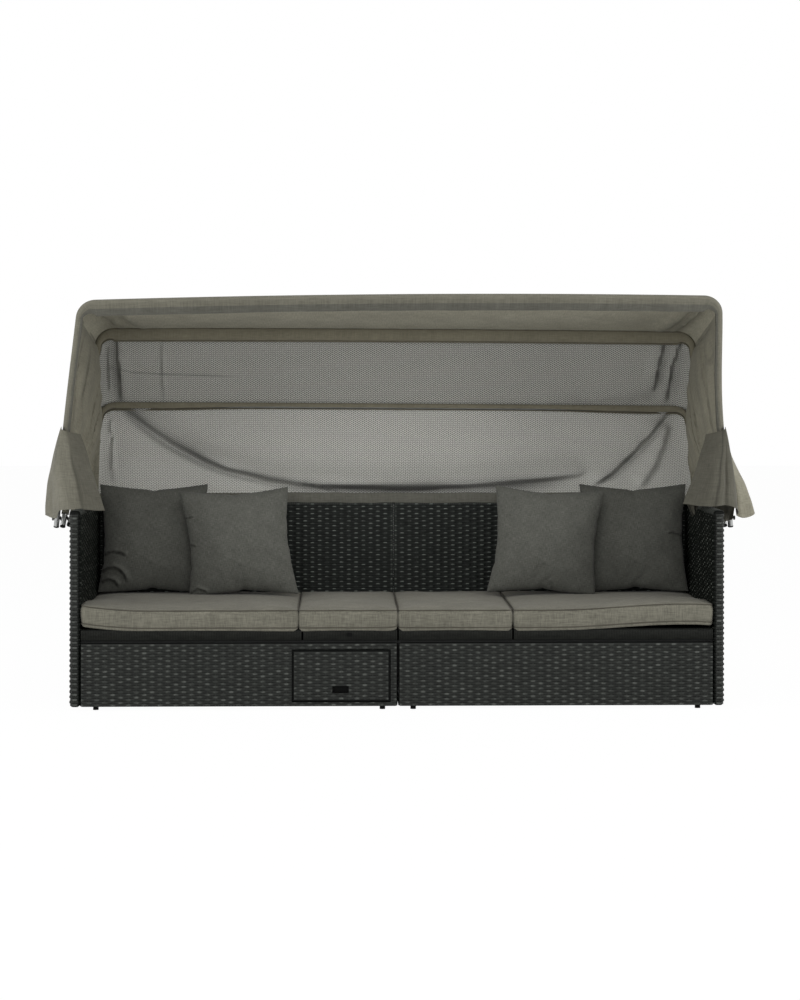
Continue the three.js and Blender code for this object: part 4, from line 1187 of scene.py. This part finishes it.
def bow_tubes():
    """The tubes of the three bows, with their plugs."""
    cap_places, cap_radii = (0.002, 0, -0.0026, -0.0036), [0.0102, 0.0106, 0.0104, 0.0085]
    for name, bow in bows.items():
        path = [bow.at(place) for place in bow.path(-bow_end_past, leg_steps=6)]
        metal = paint(tube(f"bow_tube_{name}", path, tube_radius, 16), finishes["tube"])
        body = f"{name}_bow"
        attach(metal, body)
        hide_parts(f"bow_{name}")
        for side, sign in (("right", 1), ("left", -1)):
            places = [bow.leg(past - bow_end_past) for past in cap_places]
            ends = [bow.at((sign * x, q, sign * nx, nq, t)) for x, q, nx, nq, t in places]
            cap = paint(tube(f"bow_cap_{name}_{side}", ends, cap_radii, 16), finishes["plastic"])
            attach(cap, body)
            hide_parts(f"plug_{name}_{side}")


def half_round(half, steps):
    """The part of a pocket that goes round the tube: (out, back) places."""
    angles = [math.pi * k / steps for k in range(steps + 1)]
    return [(half * math.sin(angle), -half * math.cos(angle)) for angle in angles]


def sleeve_piece():
    """The hem folded over the front bow: deep over the bar and slim down the legs."""
    bow = bows["front"]
    half = 0.0130
    rows = []
    for place in bow.path(0.322, corner_steps=12, bar_steps=90, leg_steps=24):
        x, q, _, _, turn = place
        drop = 0.012 + 0.036 * turn
        wave = 0.0018 * wave_at(x * 9, q * 9, 1.5) + 0.0008 * wave_at(x * 30, q * 30, 4.5)
        hem = 0.55 - 0.55 * turn
        section = [(-drop + wave, -half * hem)]
        for t in (0.3, 0.6, 0.8):
            section.append((-drop * (1 - t), -half * (hem + (1 - hem) * t ** 0.8) + wave * (1 - t)))
        section += half_round(half, 10)
        for t in (0.25, 0.5, 0.75):
            section.append((-drop * t, half * (0.62 + 0.38 * (1 - t)) + wave * t))
        section += [(-drop + wave, half * 0.62)]
        rows.append([bow.at(place, out, back) for out, back in section])
    grid = np.array(rows).transpose(1, 0, 2)
    # The sleeve's lowest rows, front and back, take the darker hem cloth: a turned hem and painted
    # shade.
    hem_and_shade_rows = (finishes["canopy_hem"], [0, 1, len(grid) - 3, len(grid) - 2])
    piece = cloth("front_bow_sleeve", grid, hem_thick, finishes["canopy_outer"], trim=hem_and_shade_rows)
    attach(piece, "front_bow")
    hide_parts("front_sleeve")
    declare(piece)


def pocket(name, bow_name, path, tails, half, material):
    """A pocket sewn round a stretch of a bow, with a flat tail below it."""
    bow = bows[bow_name]
    rows = []
    for place, tail in zip(path, tails):
        wave = 0.0014 * wave_at(place[0] * 12, place[1] * 12, 2.5)
        section = [(-tail, -half * 0.5 + wave), (-tail * 0.5, -half * 0.8 + wave)]
        section += half_round(half, 8)
        section += [(-tail * 0.5, half * 0.8), (-tail, half * 0.5)]
        rows.append([bow.at(place, out, back) for out, back in section])
    piece = cloth(name, np.array(rows).transpose(1, 0, 2), cloth_thick, material)
    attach(piece, f"{bow_name}_bow")
    declare(piece)


def hidden_bow_cloth(bow_name, half, tail, end_tail):
    """The pocket over a hidden bow's bar and corners, and the slim sleeves down its legs."""
    leg_steps = 16
    path = bows[bow_name].path(0.018, corner_steps=10, bar_steps=70, leg_steps=leg_steps)
    bar = path[leg_steps - 1:1 - leg_steps]
    slim = 0.0125
    tails = []
    for place in bar:
        near_end = float(smoothstep(abs(place[0]), 0.55, 1.0))
        tails.append(slim + (tail - slim + end_tail * near_end) * place[4])
    pocket(f"{bow_name}_bow_pocket", bow_name, bar, tails, half, finishes["canopy_dark"])
    for side, leg in (("right", path[:leg_steps]), ("left", path[-leg_steps:])):
        name = f"{bow_name}_leg_sleeve_{side}"
        pocket(name, bow_name, leg, [slim] * leg_steps, half - 0.0008, finishes["canopy"])


def between(first, last, rows):
    """Rows of points from one edge to another, and the shares of the way across and down."""
    v = np.linspace(0, 1, rows + 1)[:, None]
    grid = first[None] * (1 - v[..., None]) + last[None] * v[..., None]
    return grid, np.linspace(0, 1, len(first))[None, :], v


# Where the lower net meets the backrest, and the canopy's three parts between the bows
foot_y = back_high.y - 0.002
foot_z = arm_top + 0.008
foot_lean = math.atan2(foot_y - pivot_y, foot_z - pivot_z)


# Each gore's share of the side panel's foot, from the front bow to the backrest
gores = {"middle": (0.0, 0.46), "rear": (0.46, 0.72), "base": (0.72, 1.0)}


def bend(piece, sector):
    """Bakes the sheet's place into its mesh."""
    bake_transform(piece)


def finish_sheet(piece, sector, node):
    """Bakes a sheet between two bows into place and hides the CAD node that it stands in for."""
    bend(piece, sector)
    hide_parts(node)
    declare(piece)


def lay_folds(grid, folds, slack, fade=0.15):
    """Pushes folds forward out of a net, and gives the painted shade along them."""
    x, z = grid[..., 0], grid[..., 2]
    painted_shade = np.zeros(x.shape)
    for line, width, height, dark in folds:
        grid[..., 1] -= crease(x, z, line, width, height, fade) * slack
        painted_shade += tuck_shade(x, z, line, width, dark)
    return painted_shade


def canopy_roof():
    """The cloth between the front and the middle bow, with folds at its corners."""
    front = bows["front"].edge(0.0063, 0.0145, corner_columns, roof_columns)
    back = bows["middle"].edge(0.0136, -0.0025, corner_columns, roof_columns)
    grid, u, v = between(front, back, 44)
    slack = np.sin(math.pi * v) * np.sin(math.pi * u) ** 0.5
    grid[..., 2] -= 0.016 * slack
    ripple = wander(grid * [1.2, 0.5, 0.5], 6.0, 31) * 0.006 + wander(grid, 16.0, 32) * 0.002
    grid[..., 2] += ripple * np.sin(math.pi * v) ** 0.7
    painted_shade = np.zeros(grid.shape[:2])
    # Corner folds: centre, width, height, and how strong the painted shade along each is.
    corner_folds = (
        (0.046, 0.006, 0.014, 0.4), (0.066, 0.009, 0.018, 0.5), (0.950, 0.003, 0.012, 0.6),
        (0.914, 0.010, 0.018, 0.35), (0.89, 0.016, 0.008, 0.1),
    )
    for centre, width, height, dark in corner_folds:
        lean = centre + (v - 0.5) * 0.02 * (-1 if centre > 0.5 else 1)
        fold = bell(u - lean, width)
        grid[..., 2] -= height * fold * np.sin(math.pi * v) ** 0.6
        painted_shade += dark * fold * smoothstep(v, 0.1, 0.6)
    piece = cloth("canopy_roof_cloth", grid, cloth_thick, finishes["canopy_roof"], painted_shade=painted_shade)
    finish_sheet(piece, "middle", "canopy_roof")
    return grid


def upper_net():
    """The net between the middle and the rear bow, with folds that hang from its corners."""
    high = bows["middle"].edge(0.0091, 0.0088, corner_columns, net_columns)
    low = bows["rear"].edge(0.0129, 0.0055, corner_columns, net_columns)
    grid, u, v = between(high, low, 60)
    slack = np.sin(math.pi * v) ** 0.8
    grid[..., 1] += slack * 0.022 * np.sin(math.pi * u)
    # Folds: line, width, height, and how strong the painted shade along each is.
    folds = [
        ([(-1.079, 1.38), (-1.074, 1.251), (-1.068, 1.193), (-1.067, 1.04)], 0.026, 0.030, 0.6),
        ([(-1.118, 1.34), (-1.112, 1.10)], 0.014, 0.012, 0.2),
        ([(-0.907, 1.38), (-0.907, 1.204), (-0.906, 1.04)], 0.009, 0.008, 0.45),
        ([(-1.129, 1.224), (-1.032, 1.204), (-0.903, 1.196), (-0.55, 1.185)], 0.007, 0.006, 0.45),
        ([(1.078, 1.38), (1.045, 1.228), (1.028, 1.120)], 0.026, 0.030, 0.6),
        ([(1.145, 1.37), (1.10, 1.228), (1.080, 1.06)], 0.022, 0.026, 0.6),
        ([(0.60, 1.085), (0.90, 1.100), (1.06, 1.13)], 0.060, 0.010, 0.2),
    ]
    painted_shade = lay_folds(grid, folds, slack)
    grid[..., 1] += (wander(grid, 5.0, 41) * 0.005 + wander(grid, 14.0, 42) * 0.0016) * slack
    piece = cloth("net_upper", grid, net_thick, finishes["net_upper"], painted_shade=painted_shade)
    finish_sheet(piece, "rear", "mesh_upper")
    return grid


def lower_net():
    """The net between the rear bow and the backrest: a deep swag, end folds and gathers below."""
    high = bows["rear"].edge(0.0025, 0.0111, corner_columns, net_columns)
    reach = abs(high[0][0])
    low = np.array([(p[0] / reach * (outer_half - 0.005), foot_y, foot_z) for p in high])
    grid, u, v = between(high, low, 84)
    slack = np.sin(math.pi * v) ** 0.7
    grid[..., 1] += slack * 0.020 * np.sin(math.pi * u)
    swag = [
        (-1.10, 1.13), (-1.036, 1.066), (-0.946, 0.996), (-0.853, 0.934), (-0.734, 0.873),
        (-0.650, 0.838), (-0.577, 0.822), (-0.479, 0.795), (-0.363, 0.781), (-0.207, 0.772),
        (0.026, 0.768), (0.259, 0.771), (0.415, 0.783), (0.591, 0.797), (0.72, 0.812), (0.79, 0.835),
    ]
    right_end = [
        (1.14, 1.12), (1.064, 1.018), (0.995, 0.944), (0.935, 0.890), (0.851, 0.814), (0.76, 0.76),
    ]
    # Folds: line, width, height, and how strong the painted shade along each is.
    folds = [
        (swag, 0.046, 0.044, 0.85),
        (right_end, 0.030, 0.030, 0.7),
        ([(1.09, 1.01), (1.060, 0.917), (1.018, 0.836), (0.95, 0.75)], 0.040, 0.018, 0.3),
        ([(-1.125, 1.08), (-1.10, 0.938), (-1.083, 0.74)], 0.008, 0.010, 0.4),
        ([(-0.36, 0.775), (-0.27, 0.755), (-0.20, 0.740)], 0.016, 0.014, 0.3),
        ([(-0.05, 0.758), (0.06, 0.750), (0.20, 0.758)], 0.016, 0.010, 0.3),
    ]
    painted_shade = lay_folds(grid, folds, np.sin(math.pi * v) ** 0.3, 0.14)
    x, z = grid[..., 0], grid[..., 2]
    in_middle = smoothstep(x, -0.55, -0.20) * (1 - smoothstep(x, 0.45, 0.75))
    # Painted shade on the lowest band of the net's middle, where it rolls under.
    painted_shade += 0.48 * in_middle * smoothstep(0.775 - z, 0.0, 0.016)
    gathers = wander(grid * [1.6, 0.2, 0.7], 9.0, 51) * 0.010 * smoothstep(v, 0.78, 0.97)
    gathers += wander(grid, 5.0, 52) * 0.005
    grid[..., 1] += (gathers + wander(grid, 15.0, 53) * 0.0015) * slack
    piece = cloth("net_lower", grid, net_thick, finishes["net"], painted_shade=painted_shade)
    finish_sheet(piece, "base", "mesh_lower")
    return grid


def hem_cuff():
    """A folded cuff over the backrest's top edge, which takes the lower net's edge."""
    half = inner_half - 0.003
    front = back_low.y - 0.0050
    count = 160
    rows = []
    for k in range(count + 1):
        x = -half + 2 * half * k / count
        wave = 0.0025 * wave_at(x * 7, 0.3, 0.7) + 0.0012 * wave_at(x * 23, 1.3, 0.7)
        bottom = arm_top - 0.007 + wave
        line = [(0, 0), (-0.0006, 0.012), (wave * 0.4, 0.024), (0.002, 0.033), (0.008, 0.037)]
        line += [(0.020, 0.036), (0.032, 0.030), (0.043, 0.020), (0.0455, 0.006), (0.0456, -0.012)]
        rows.append([(x, front + back, bottom + up) for back, up in line])
    piece = cloth("hem_cuff", np.array(rows), hem_thick, finishes["canopy_hem"])
    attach(piece, "base")
    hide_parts("hem_band")
    declare(piece)


def side_x(lean, q, sign):
    """How far out the side panel stands at an angle and a distance from the pivot."""
    front, middle, rear = bows["front"], bows["middle"], bows["rear"]
    inside = 0.0150
    places = [
        (front.lean, front, front.leg_x(q) + 0.0076),
        (middle.lean, middle, middle.leg_x(q) - inside),
        (rear.lean, rear, rear.leg_x(q) - inside),
        (foot_lean, rear, min(rear.leg_x(q) + 0.0126, outer_half + 0.0378)),
    ]
    across = [sign * x + bow.drift(q, sign) for _, bow, x in places]
    return float(np.interp(lean, [place[0] for place in places], across))


def polar(y, z):
    """Lean and distance of a place from the pivots."""
    return math.atan2(y - pivot_y, z - pivot_z), math.hypot(y - pivot_y, z - pivot_z)


def side_panel(side, sign, sector, top_edge, share0, share1):
    """One gore of the side panel, from the edge of the roof or the net down to the hem's line."""
    rows = 44
    front_foot = Vector(bows["front"].at(bows["front"].leg(0.362), 0, 0.0145))
    low0, low1 = np.array([front_foot.y, front_foot.z]), np.array([foot_y, foot_z + 0.004])
    columns = len(top_edge) - 1
    grid = np.zeros((columns + 1, rows + 2, 3))
    painted_shade = np.zeros((columns + 1, rows + 2))
    for j, top in enumerate(top_edge):
        gore = j / columns
        share = share0 + (share1 - share0) * gore
        low = low0 + (low1 - low0) * share
        top_lean, top_q = polar(top[1], top[2])
        gap = top[0] - side_x(top_lean, top_q, sign)
        for i in range(rows + 1):
            v = i / rows
            y, z = low + (np.array(top[1:]) - low) * v
            lean, q = polar(y, z)
            slack = math.sin(math.pi * gore) * math.sin(math.pi * min(1, 0.12 + 0.88 * v)) ** 0.6
            wrinkle = 0.007 * math.cos(gore * math.pi * 6 + sign)
            wrinkle += 0.010 * wave_at(gore * 4 + share0 * 9, v * 2.2, sign * 5.0)
            wrinkle += 0.002 * wave_at(gore * 12 + share0 * 9, v * 5, sign * 3.0)
            valley = max(0.0, 1 - 7 * abs(wave_at(gore * 3.0 + share0 * 9, v * 1.5, sign * 6.0)))
            wrinkle -= 0.012 * valley ** 1.5
            slope = max(0.0, math.cos(gore * math.pi * 6 + sign + 1.2))
            # Painted shade along the wrinkles and in the sharp creases.
            painted_shade[j, i] = slack * (0.35 * slope ** 4 + 0.45 * valley ** 2)
            grid[j, i] = (side_x(lean, q, sign) + gap * v ** 16 + sign * slack * wrinkle, y, z)
        seam = 0.010
        past = (-sign * 0.0028, math.sin(top_lean) * seam, math.cos(top_lean) * seam)
        grid[j, rows + 1] = top + np.array(past)
    piece = cloth(f"side_panel_{sector}_{side}", grid, cloth_thick, finishes["canopy"], painted_shade=painted_shade)
    bend(piece, sector)
    declare(piece)
    return piece


def side_panels(side, sign, sheets):
    """The side panel in three gores that share their seams' lines with the roof and the nets."""
    column = 0 if sign > 0 else -1
    seam = None
    for sector, (share0, share1) in gores.items():
        edge = sheets[sector][:, column].copy()
        if seam is not None:
            edge[0] = seam
        seam = edge[-1]
        side_panel(side, sign, sector, edge, share0, share1)
    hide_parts(f"side_cloth_{side}")


def skirt_fold(u, side):
    """How far forward the skirt's rounded folds stand at a share of the way round it."""
    folds = skirt_folds[side]
    return sum(high * math.exp(-abs((u - centre) / width) ** 1.7) for centre, width, high in folds)


def skirt_shade(u, v, side):
    """Painted shade on the skirt at a place on it: over the part that faces inwards and along folds.
    """
    if side == "left":
        dark = 0.42 * (1 - smoothstep(u, 0.17, 0.24))
        dark += 0.35 * bell(u - 0.20, 0.018) * smoothstep(v, 0.15, 0.4)
        return dark + 0.25 * bell(u - 0.42 - 0.18 * v, 0.03) * bell(v - 0.25, 0.2)
    dark = 0.56 * (1 - smoothstep(u, 0.48, 0.52))
    return dark + 0.30 * bell(u - 0.25, 0.014) + 0.12 * bell(u - 0.545, 0.02)


def in_frame(places):
    """Turns places past the arm's outside, back from the pivot and up from it into the frame's."""
    return [(outer_half + x, pivot_y + y, pivot_z + z) for x, y, z in places]


def finish_skirt(piece):
    """Fixes a piece that hangs over the arm to the base and gives it a mesh of its own."""
    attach(piece, "base")
    declare(piece)
    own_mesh(piece)


def skirt(side, sign):
    """The flared apron that hangs from the side panel over the arm and the pivots."""
    columns, rows = 140, 52
    placed_top, placed_foot = in_frame(skirt_top), in_frame(skirt_feet[side])
    grid = np.zeros((columns + 1, rows + 1, 3))
    painted_shade = np.zeros((columns + 1, rows + 1))
    front = bows["front"]
    for i in range(columns + 1):
        u = i / columns
        top, foot = smooth_curve(placed_top, u), smooth_curve(placed_foot, u)
        flare = 0.012 * smoothstep(u, 0.15, 0.5) if side == "left" else 0.004
        fold = skirt_fold(u, side)
        drift = front.drift(top.z - pivot_z, sign)
        dip = 0.0
        if side == "left":
            dip = 0.026 * smoothstep(0.76 - u, 0, 0.28) * (1 - smoothstep(0.46 - u, 0, 0.04))
        for j in range(rows + 1):
            v = j / rows
            p = top.lerp(foot, v)
            belly = math.sin(math.pi * min(1, v * 1.15)) if v < 0.87 else 0
            p.x += (1 - v) * drift * sign + flare * math.sin(math.pi * v ** 0.8)
            p.y -= 0.006 * belly * math.sin(5 * math.pi * u)
            drape = smoothstep(v, 0.08, 0.75)
            p.y -= fold * drape
            p.x += fold * 0.5 * drape * smoothstep(u, 0.4, 0.7)
            p.x += 0.004 * wave_at(u * 5, v * 4, sign * 3.3)
            p.y += 0.006 * wave_at(u * 6 + 4, v * 3, sign * 2.3)
            p.z += 0.004 * v * wave_at(u * 9, 0.5, sign * 4.1)
            p.z -= dip * v ** 3
            grid[i, j] = (sign * p.x, p.y, p.z)
            painted_shade[i, j] = skirt_shade(u, v, side)
    # The right skirt's flap takes the lighter canopy cloth, painted light where it faces the light.
    rows_of_flap = range(round(flap_start * columns), columns)
    flap = (finishes["canopy"], rows_of_flap) if side == "right" else None
    name = f"canopy_skirt_{side}"
    piece = cloth(name, grid, cloth_thick, finishes["canopy_outer"], trim=flap, painted_shade=painted_shade)
    finish_skirt(piece)
    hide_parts(f"skirt_{side}")


def hanging_corner(name, corners, seed):
    """A small loose piece of lining that hangs from a skirt, given by its four corners."""
    count = 18
    a, b, c, d = (np.array(corner) for corner in corners)
    grid = np.zeros((count + 1, count + 1, 3))
    painted_shade = np.zeros((count + 1, count + 1))
    for i in range(count + 1):
        for j in range(count + 1):
            u, v = i / count, j / count
            p = (a * (1 - u) + b * u) * (1 - v) + (d * (1 - u) + c * u) * v
            crumple = wave_at(u * 3.1, v * 2.3, seed) * 0.014 * v + 0.006 * v * math.sin(u * 9)
            grid[i, j] = (p[0], p[1] + crumple, p[2])
            # Painted shade, dark all over with blotches.
            painted_shade[i, j] = 0.74 + 0.4 * abs(wave_at(u * 4.0, v * 2.0, seed + 5))
    piece = cloth(name, grid, cloth_thick, finishes["canopy_outer"], painted_shade=painted_shade)
    finish_skirt(piece)


# Property groups, operators and panel

def colour_field(name, description, default):
    return bpy.props.FloatVectorProperty(
        name=name, description=description, subtype="COLOR", size=3, min=0, max=1, default=default,
    )


def length_field(name, description, default):
    return bpy.props.FloatProperty(
        name=name, description=description, default=default, unit="LENGTH",
    )


class DaybedColours(bpy.types.PropertyGroup):
    """Colours of the daybed's finishes, as sRGB"""

    wicker: colour_field("Wicker", "Flat strands of the arms and front", (0.168, 0.176, 0.165))
    # Painted highlight on the front strands' crests.
    crest: colour_field("Crests", "Worn crests of the strands", (0.250, 0.258, 0.246))
    # Darker strands of the backrest's front and the arms' insides: painted shade.
    backrest: colour_field("Backrest", "Flat strands inside the backrest", (0.155, 0.168, 0.157))
    backrest_crest: colour_field("Backrest crests", "Lit crests there", (0.500, 0.520, 0.495))
    inner: colour_field("Arm insides", "Flat strands inside the arms", (0.075, 0.085, 0.075))
    inner_crest: colour_field("Arm inside crests", "Lit crests there", (0.330, 0.340, 0.320))
    rim: colour_field("Seat rims", "Fine wicker round the seat sections", (0.098, 0.102, 0.091))
    backing: colour_field("Ground", "Dark ground seen between the strands", (0.060, 0.065, 0.060))
    cushion: colour_field("Cushions", "Seat fabric", (0.380, 0.373, 0.335))
    # Darker than the seat fabric: painted shade.
    piping: colour_field("Piping", "Cord round the seat cushions", (0.270, 0.260, 0.230))
    pillow: colour_field("Pillows", "Scatter pillow fabric", (0.310, 0.312, 0.292))
    canopy: colour_field("Canopy", "Canopy cloth", (0.450, 0.440, 0.390))
    roof: colour_field("Roof", "Canopy cloth overhead, lit through", (0.560, 0.548, 0.488))
    pocket: colour_field("Pockets", "Cloth pockets round the hidden bows", (0.430, 0.415, 0.358))
    # Darker than the canopy cloth: painted shade.
    outer: colour_field("Sleeve and skirts", "Canopy cloth on the outside", (0.378, 0.371, 0.332))
    # Also on the sleeve's lowest rows: a turned hem and painted shade.
    hem: colour_field("Hem", "Cuff over the backrest", (0.320, 0.318, 0.292))
    net: colour_field("Net", "Net between the rear bow and the backrest", (0.660, 0.660, 0.638))
    # Darker than the lower net: painted shade.
    net_upper: colour_field("Upper net", "Net between the hidden bows", (0.550, 0.550, 0.528))
    steel: colour_field("Steel", "Painted frame", (0.090, 0.095, 0.090))
    tube: colour_field("Tube", "Bare tube of the bows", (0.620, 0.625, 0.620))
    plastic: colour_field("Plastic", "Glides, plugs and drawer cup", (0.034, 0.036, 0.033))


class DaybedSizes(bpy.types.PropertyGroup):
    """Sizes of the weave and of the soft parts"""

    stake_pitch: length_field("Stake pitch", "From one upright stake to the next", 0.0287)
    row_pitch: length_field("Row pitch", "From one strand to the next", 0.0092)
    strand_width: length_field("Strand width", "Width of a flat strand", 0.0085)
    strand_edge: length_field("Strand edge", "How far a strand's edges turn down", 0.0007)
    weave_depth: length_field("Weave depth", "From the lowest to the highest strand", 0.0029)
    cushion_draw_in: length_field("Draw-in", "How far a cushion's sides pull in", 0.002)
    piping_radius: length_field("Piping radius", "Radius of the cord round a cushion", 0.0021)


class DAYBED_OT_weave(bpy.types.Operator):
    """Weave the arms, the backrest, the front panels and the drawer"""

    bl_idname = "daybed.weave"
    bl_label = "Weave panels"

    def execute(self, context):
        sizes = context.scene.daybed_sizes
        for side in ("left", "right"):
            weave_arm(side, sizes)
            weave_back(side, sizes)
            weave_front(side, sizes)
        weave_drawer(sizes)
        for index in range(1, 5):
            wrap_seat(index)
        return {"FINISHED"}


class DAYBED_OT_cushions(bpy.types.Operator):
    """Make the four piped seat cushions"""

    bl_idname = "daybed.cushions"
    bl_label = "Seat cushions"

    def execute(self, context):
        for index in range(1, 5):
            seat_cushion(index, context.scene.daybed_sizes)
        return {"FINISHED"}


class DAYBED_OT_pillows(bpy.types.Operator):
    """Stuff and place the four scatter pillows"""

    bl_idname = "daybed.pillows"
    bl_label = "Scatter pillows"

    def execute(self, context):
        blank = pillow_blank(56)
        full = fitted(swollen(points_of(blank)), pillow_size)
        stuff(blank)
        full += stuffing_share * (fitted(points_of(blank), pillow_size) - full)
        set_points(blank, full)
        apply_modifier(blank, "SUBSURF", levels=1, render_levels=1)
        rear_x = inner_half - 0.2130
        upper, middle, lower = (
            [
                (-0.185, -0.060), (-0.165, -0.052), (-0.140, -0.050), (-0.115, -0.056),
                (-0.090, -0.068),
            ],
            [
                (-0.195, -0.125), (-0.170, -0.112), (-0.145, -0.108), (-0.120, -0.118),
                (-0.100, -0.140), (-0.088, -0.170),
            ],
            [(-0.195, -0.165), (-0.165, -0.152), (-0.140, -0.160), (-0.120, -0.185)],
        )
        left_rear = [(upper, 0.012, 0.007), (middle, 0.013, 0.009), (lower, 0.011, 0.007)]
        left_front = [
            ([(-0.215, 0.105), (-0.185, 0.100), (-0.155, 0.104)], 0.007, 0.004),
            ([(-0.215, 0.005), (-0.185, 0.000), (-0.155, -0.012)], 0.008, 0.005),
            ([(-0.20, -0.185), (-0.17, -0.168), (-0.13, -0.185)], 0.008, 0.006),
        ]
        right_front = [
            ([(0.215, 0.010), (0.180, 0.004)], 0.007, 0.004),
            ([(0.035, -0.205), (0.030, -0.170), (0.022, -0.145)], 0.008, 0.004),
        ]
        right_rear = [
            ([(0.215, 0.018), (0.180, 0.012), (0.145, 0.020), (0.120, 0.018)], 0.008, 0.005),
        ]
        # Name, filled cover, place, lean, slump, turn, height, creases, seed and shade
        for values in (
            ("left_rear", blank, -rear_x, 12, 0.0, 0.0, 1.035, left_rear, 3, 0.13),
            ("left_front", blank, -0.5885, 13, -0.014, 2.4, 1.0, left_front, 5, 0.0),
            ("right_front", blank, 0.5720, 13, 0.009, -3.3, 1.0, right_front, 8, 0.0),
            ("right_rear", blank, rear_x, 12, 0.0, 0.0, 1.035, right_rear, 11, 0.08),
        ):
            scatter_pillow(*values)
        bpy.data.objects.remove(blank)
        return {"FINISHED"}


class DAYBED_OT_canopy(bpy.types.Operator):
    """Hang the canopy's cloth and net on the bows"""

    bl_idname = "daybed.canopy"
    bl_label = "Canopy"

    def execute(self, context):
        bow_tubes()
        sleeve_piece()
        hidden_bow_cloth("middle", half=0.0145, tail=0.040, end_tail=0.0)
        hidden_bow_cloth("rear", half=0.0118, tail=0.0125, end_tail=0.012)
        hem_cuff()
        sheets = {"middle": canopy_roof(), "rear": upper_net(), "base": lower_net()}
        for side, sign in (("left", -1), ("right", 1)):
            side_panels(side, sign, sheets)
            skirt(side, sign)
        inner = ((1.064, 0.740), (1.122, 0.740), (1.106, 0.690), (1.094, 0.672))
        outer = ((1.176, 0.745), (1.280, 0.745), (1.264, 0.652), (1.188, 0.634))
        for name, y, corners, seed in (("inner", -0.200, inner, 3.0), ("outer", -0.070, outer, 7.0)):
            places = [(x, pivot_y + y, z) for x, z in corners]
            hanging_corner(f"skirt_lining_{name}", places, seed)
        return {"FINISHED"}


class DAYBED_OT_small_parts(bpy.types.Operator):
    """Finish the frame, the pivots, the glides and the finger tab"""

    bl_idname = "daybed.small_parts"
    bl_label = "Small parts"

    def execute(self, context):
        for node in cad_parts:
            if node.startswith(("base_frame", "pivot_", "runner_")):
                repaint(node, finishes["steel"])
            elif node.startswith(("glide_", "module_clip_", "lid_tab")):
                repaint(node, finishes["plastic"])
        return {"FINISHED"}


def seen_directly(tree):
    """1 for rays from the camera, also by way of a mirror or glass, and 0 for soft light."""
    rays = put(tree, "LightPath").outputs
    mirrored = math_node(tree, "MAXIMUM", rays["Is Camera Ray"], rays["Is Glossy Ray"])
    return math_node(tree, "MAXIMUM", mirrored, rays["Is Transmission Ray"])


def lamp(name, place, target, size, power):
    data = bpy.data.lights.new(name, "AREA")
    data.shape = "RECTANGLE"
    data.size, data.size_y = size
    data.energy = power
    obj = bpy.data.objects.new(name, data)
    obj.location = place
    obj.rotation_euler = (Vector(target) - Vector(place)).to_track_quat("-Z", "Y").to_euler()
    bpy.context.scene.collection.objects.link(obj)


class DAYBED_OT_stage(bpy.types.Operator):
    """Set up the floor, the light and the camera"""

    bl_idname = "daybed.stage"
    bl_label = "Stage"

    def execute(self, context):
        bpy.ops.mesh.primitive_plane_add(size=40, location=(0, 0, 0))
        floor = bpy.context.object
        floor.name = "floor"
        material = bpy.data.materials.new("pale floor")
        material.use_nodes = True
        tree = material.node_tree
        tree.nodes.clear()
        result = tree.nodes.new("ShaderNodeOutputMaterial")
        matt = put(tree, "BsdfDiffuse", {"Color": (0.88, 0.88, 0.88, 1)})
        glow = put(tree, "Emission", {"Color": (1, 1, 1, 1), "Strength": 1.0})
        share = math_node(tree, "MULTIPLY", seen_directly(tree), floor_white)
        mixed = put(tree, "MixShader", {0: share, 1: matt.outputs[0], 2: glow.outputs[0]})
        tree.links.new(mixed.outputs[0], result.inputs["Surface"])
        paint(floor, material)

        world = bpy.data.worlds.new("studio")
        context.scene.world = world
        world.use_nodes = True
        tree = world.node_tree
        tree.nodes.clear()
        result = tree.nodes.new("ShaderNodeOutputWorld")
        soft = put(tree, "Background", {"Color": (1, 1, 1, 1), "Strength": room_light})
        white = put(tree, "Background", {"Color": (1, 1, 1, 1), "Strength": 1.0})
        seen = seen_directly(tree)
        mixed = put(tree, "MixShader", {0: seen, 1: soft.outputs[0], 2: white.outputs[0]})
        tree.links.new(mixed.outputs[0], result.inputs["Surface"])

        for name, values in lamps.items():
            lamp(name, *values)

        context.scene.view_settings.view_transform = "Standard"
        data = bpy.data.cameras.new("camera")
        data.sensor_width = sensor
        data.lens = focal_pixels * sensor / photo_height
        data.shift_y = camera_shift
        camera = bpy.data.objects.new("camera", data)
        camera.location = camera_place
        camera.rotation_euler = camera_turn
        context.scene.collection.objects.link(camera)
        context.scene.camera = camera
        return {"FINISHED"}


class DAYBED_PT_panel(bpy.types.Panel):
    """The daybed's steps and values"""

    bl_label = "Daybed"
    bl_space_type = "VIEW_3D"
    bl_region_type = "UI"
    bl_category = "Daybed"

    def draw(self, context):
        for group in (context.scene.daybed_colours, context.scene.daybed_sizes):
            for field in group.__annotations__:
                self.layout.prop(group, field)
        for step in steps:
            self.layout.operator(step.bl_idname)


steps = (
    DAYBED_OT_weave,
    DAYBED_OT_cushions,
    DAYBED_OT_pillows,
    DAYBED_OT_canopy,
    DAYBED_OT_small_parts,
    DAYBED_OT_stage,
)
classes = (DaybedColours, DaybedSizes, *steps, DAYBED_PT_panel)


def register():
    for cls in classes:
        bpy.utils.register_class(cls)
    bpy.types.Scene.daybed_colours = bpy.props.PointerProperty(type=DaybedColours)
    bpy.types.Scene.daybed_sizes = bpy.props.PointerProperty(type=DaybedSizes)


def unregister():
    del bpy.types.Scene.daybed_sizes
    del bpy.types.Scene.daybed_colours
    for cls in reversed(classes):
        bpy.utils.unregister_class(cls)


def main():
    register()
    make_finishes(bpy.context.scene.daybed_colours)
    bpy.ops.daybed.weave()
    bpy.ops.daybed.cushions()
    bpy.ops.daybed.pillows()
    bpy.ops.daybed.canopy()
    bpy.ops.daybed.small_parts()
    bpy.ops.daybed.stage()


if __name__ == "__main__":
    main()
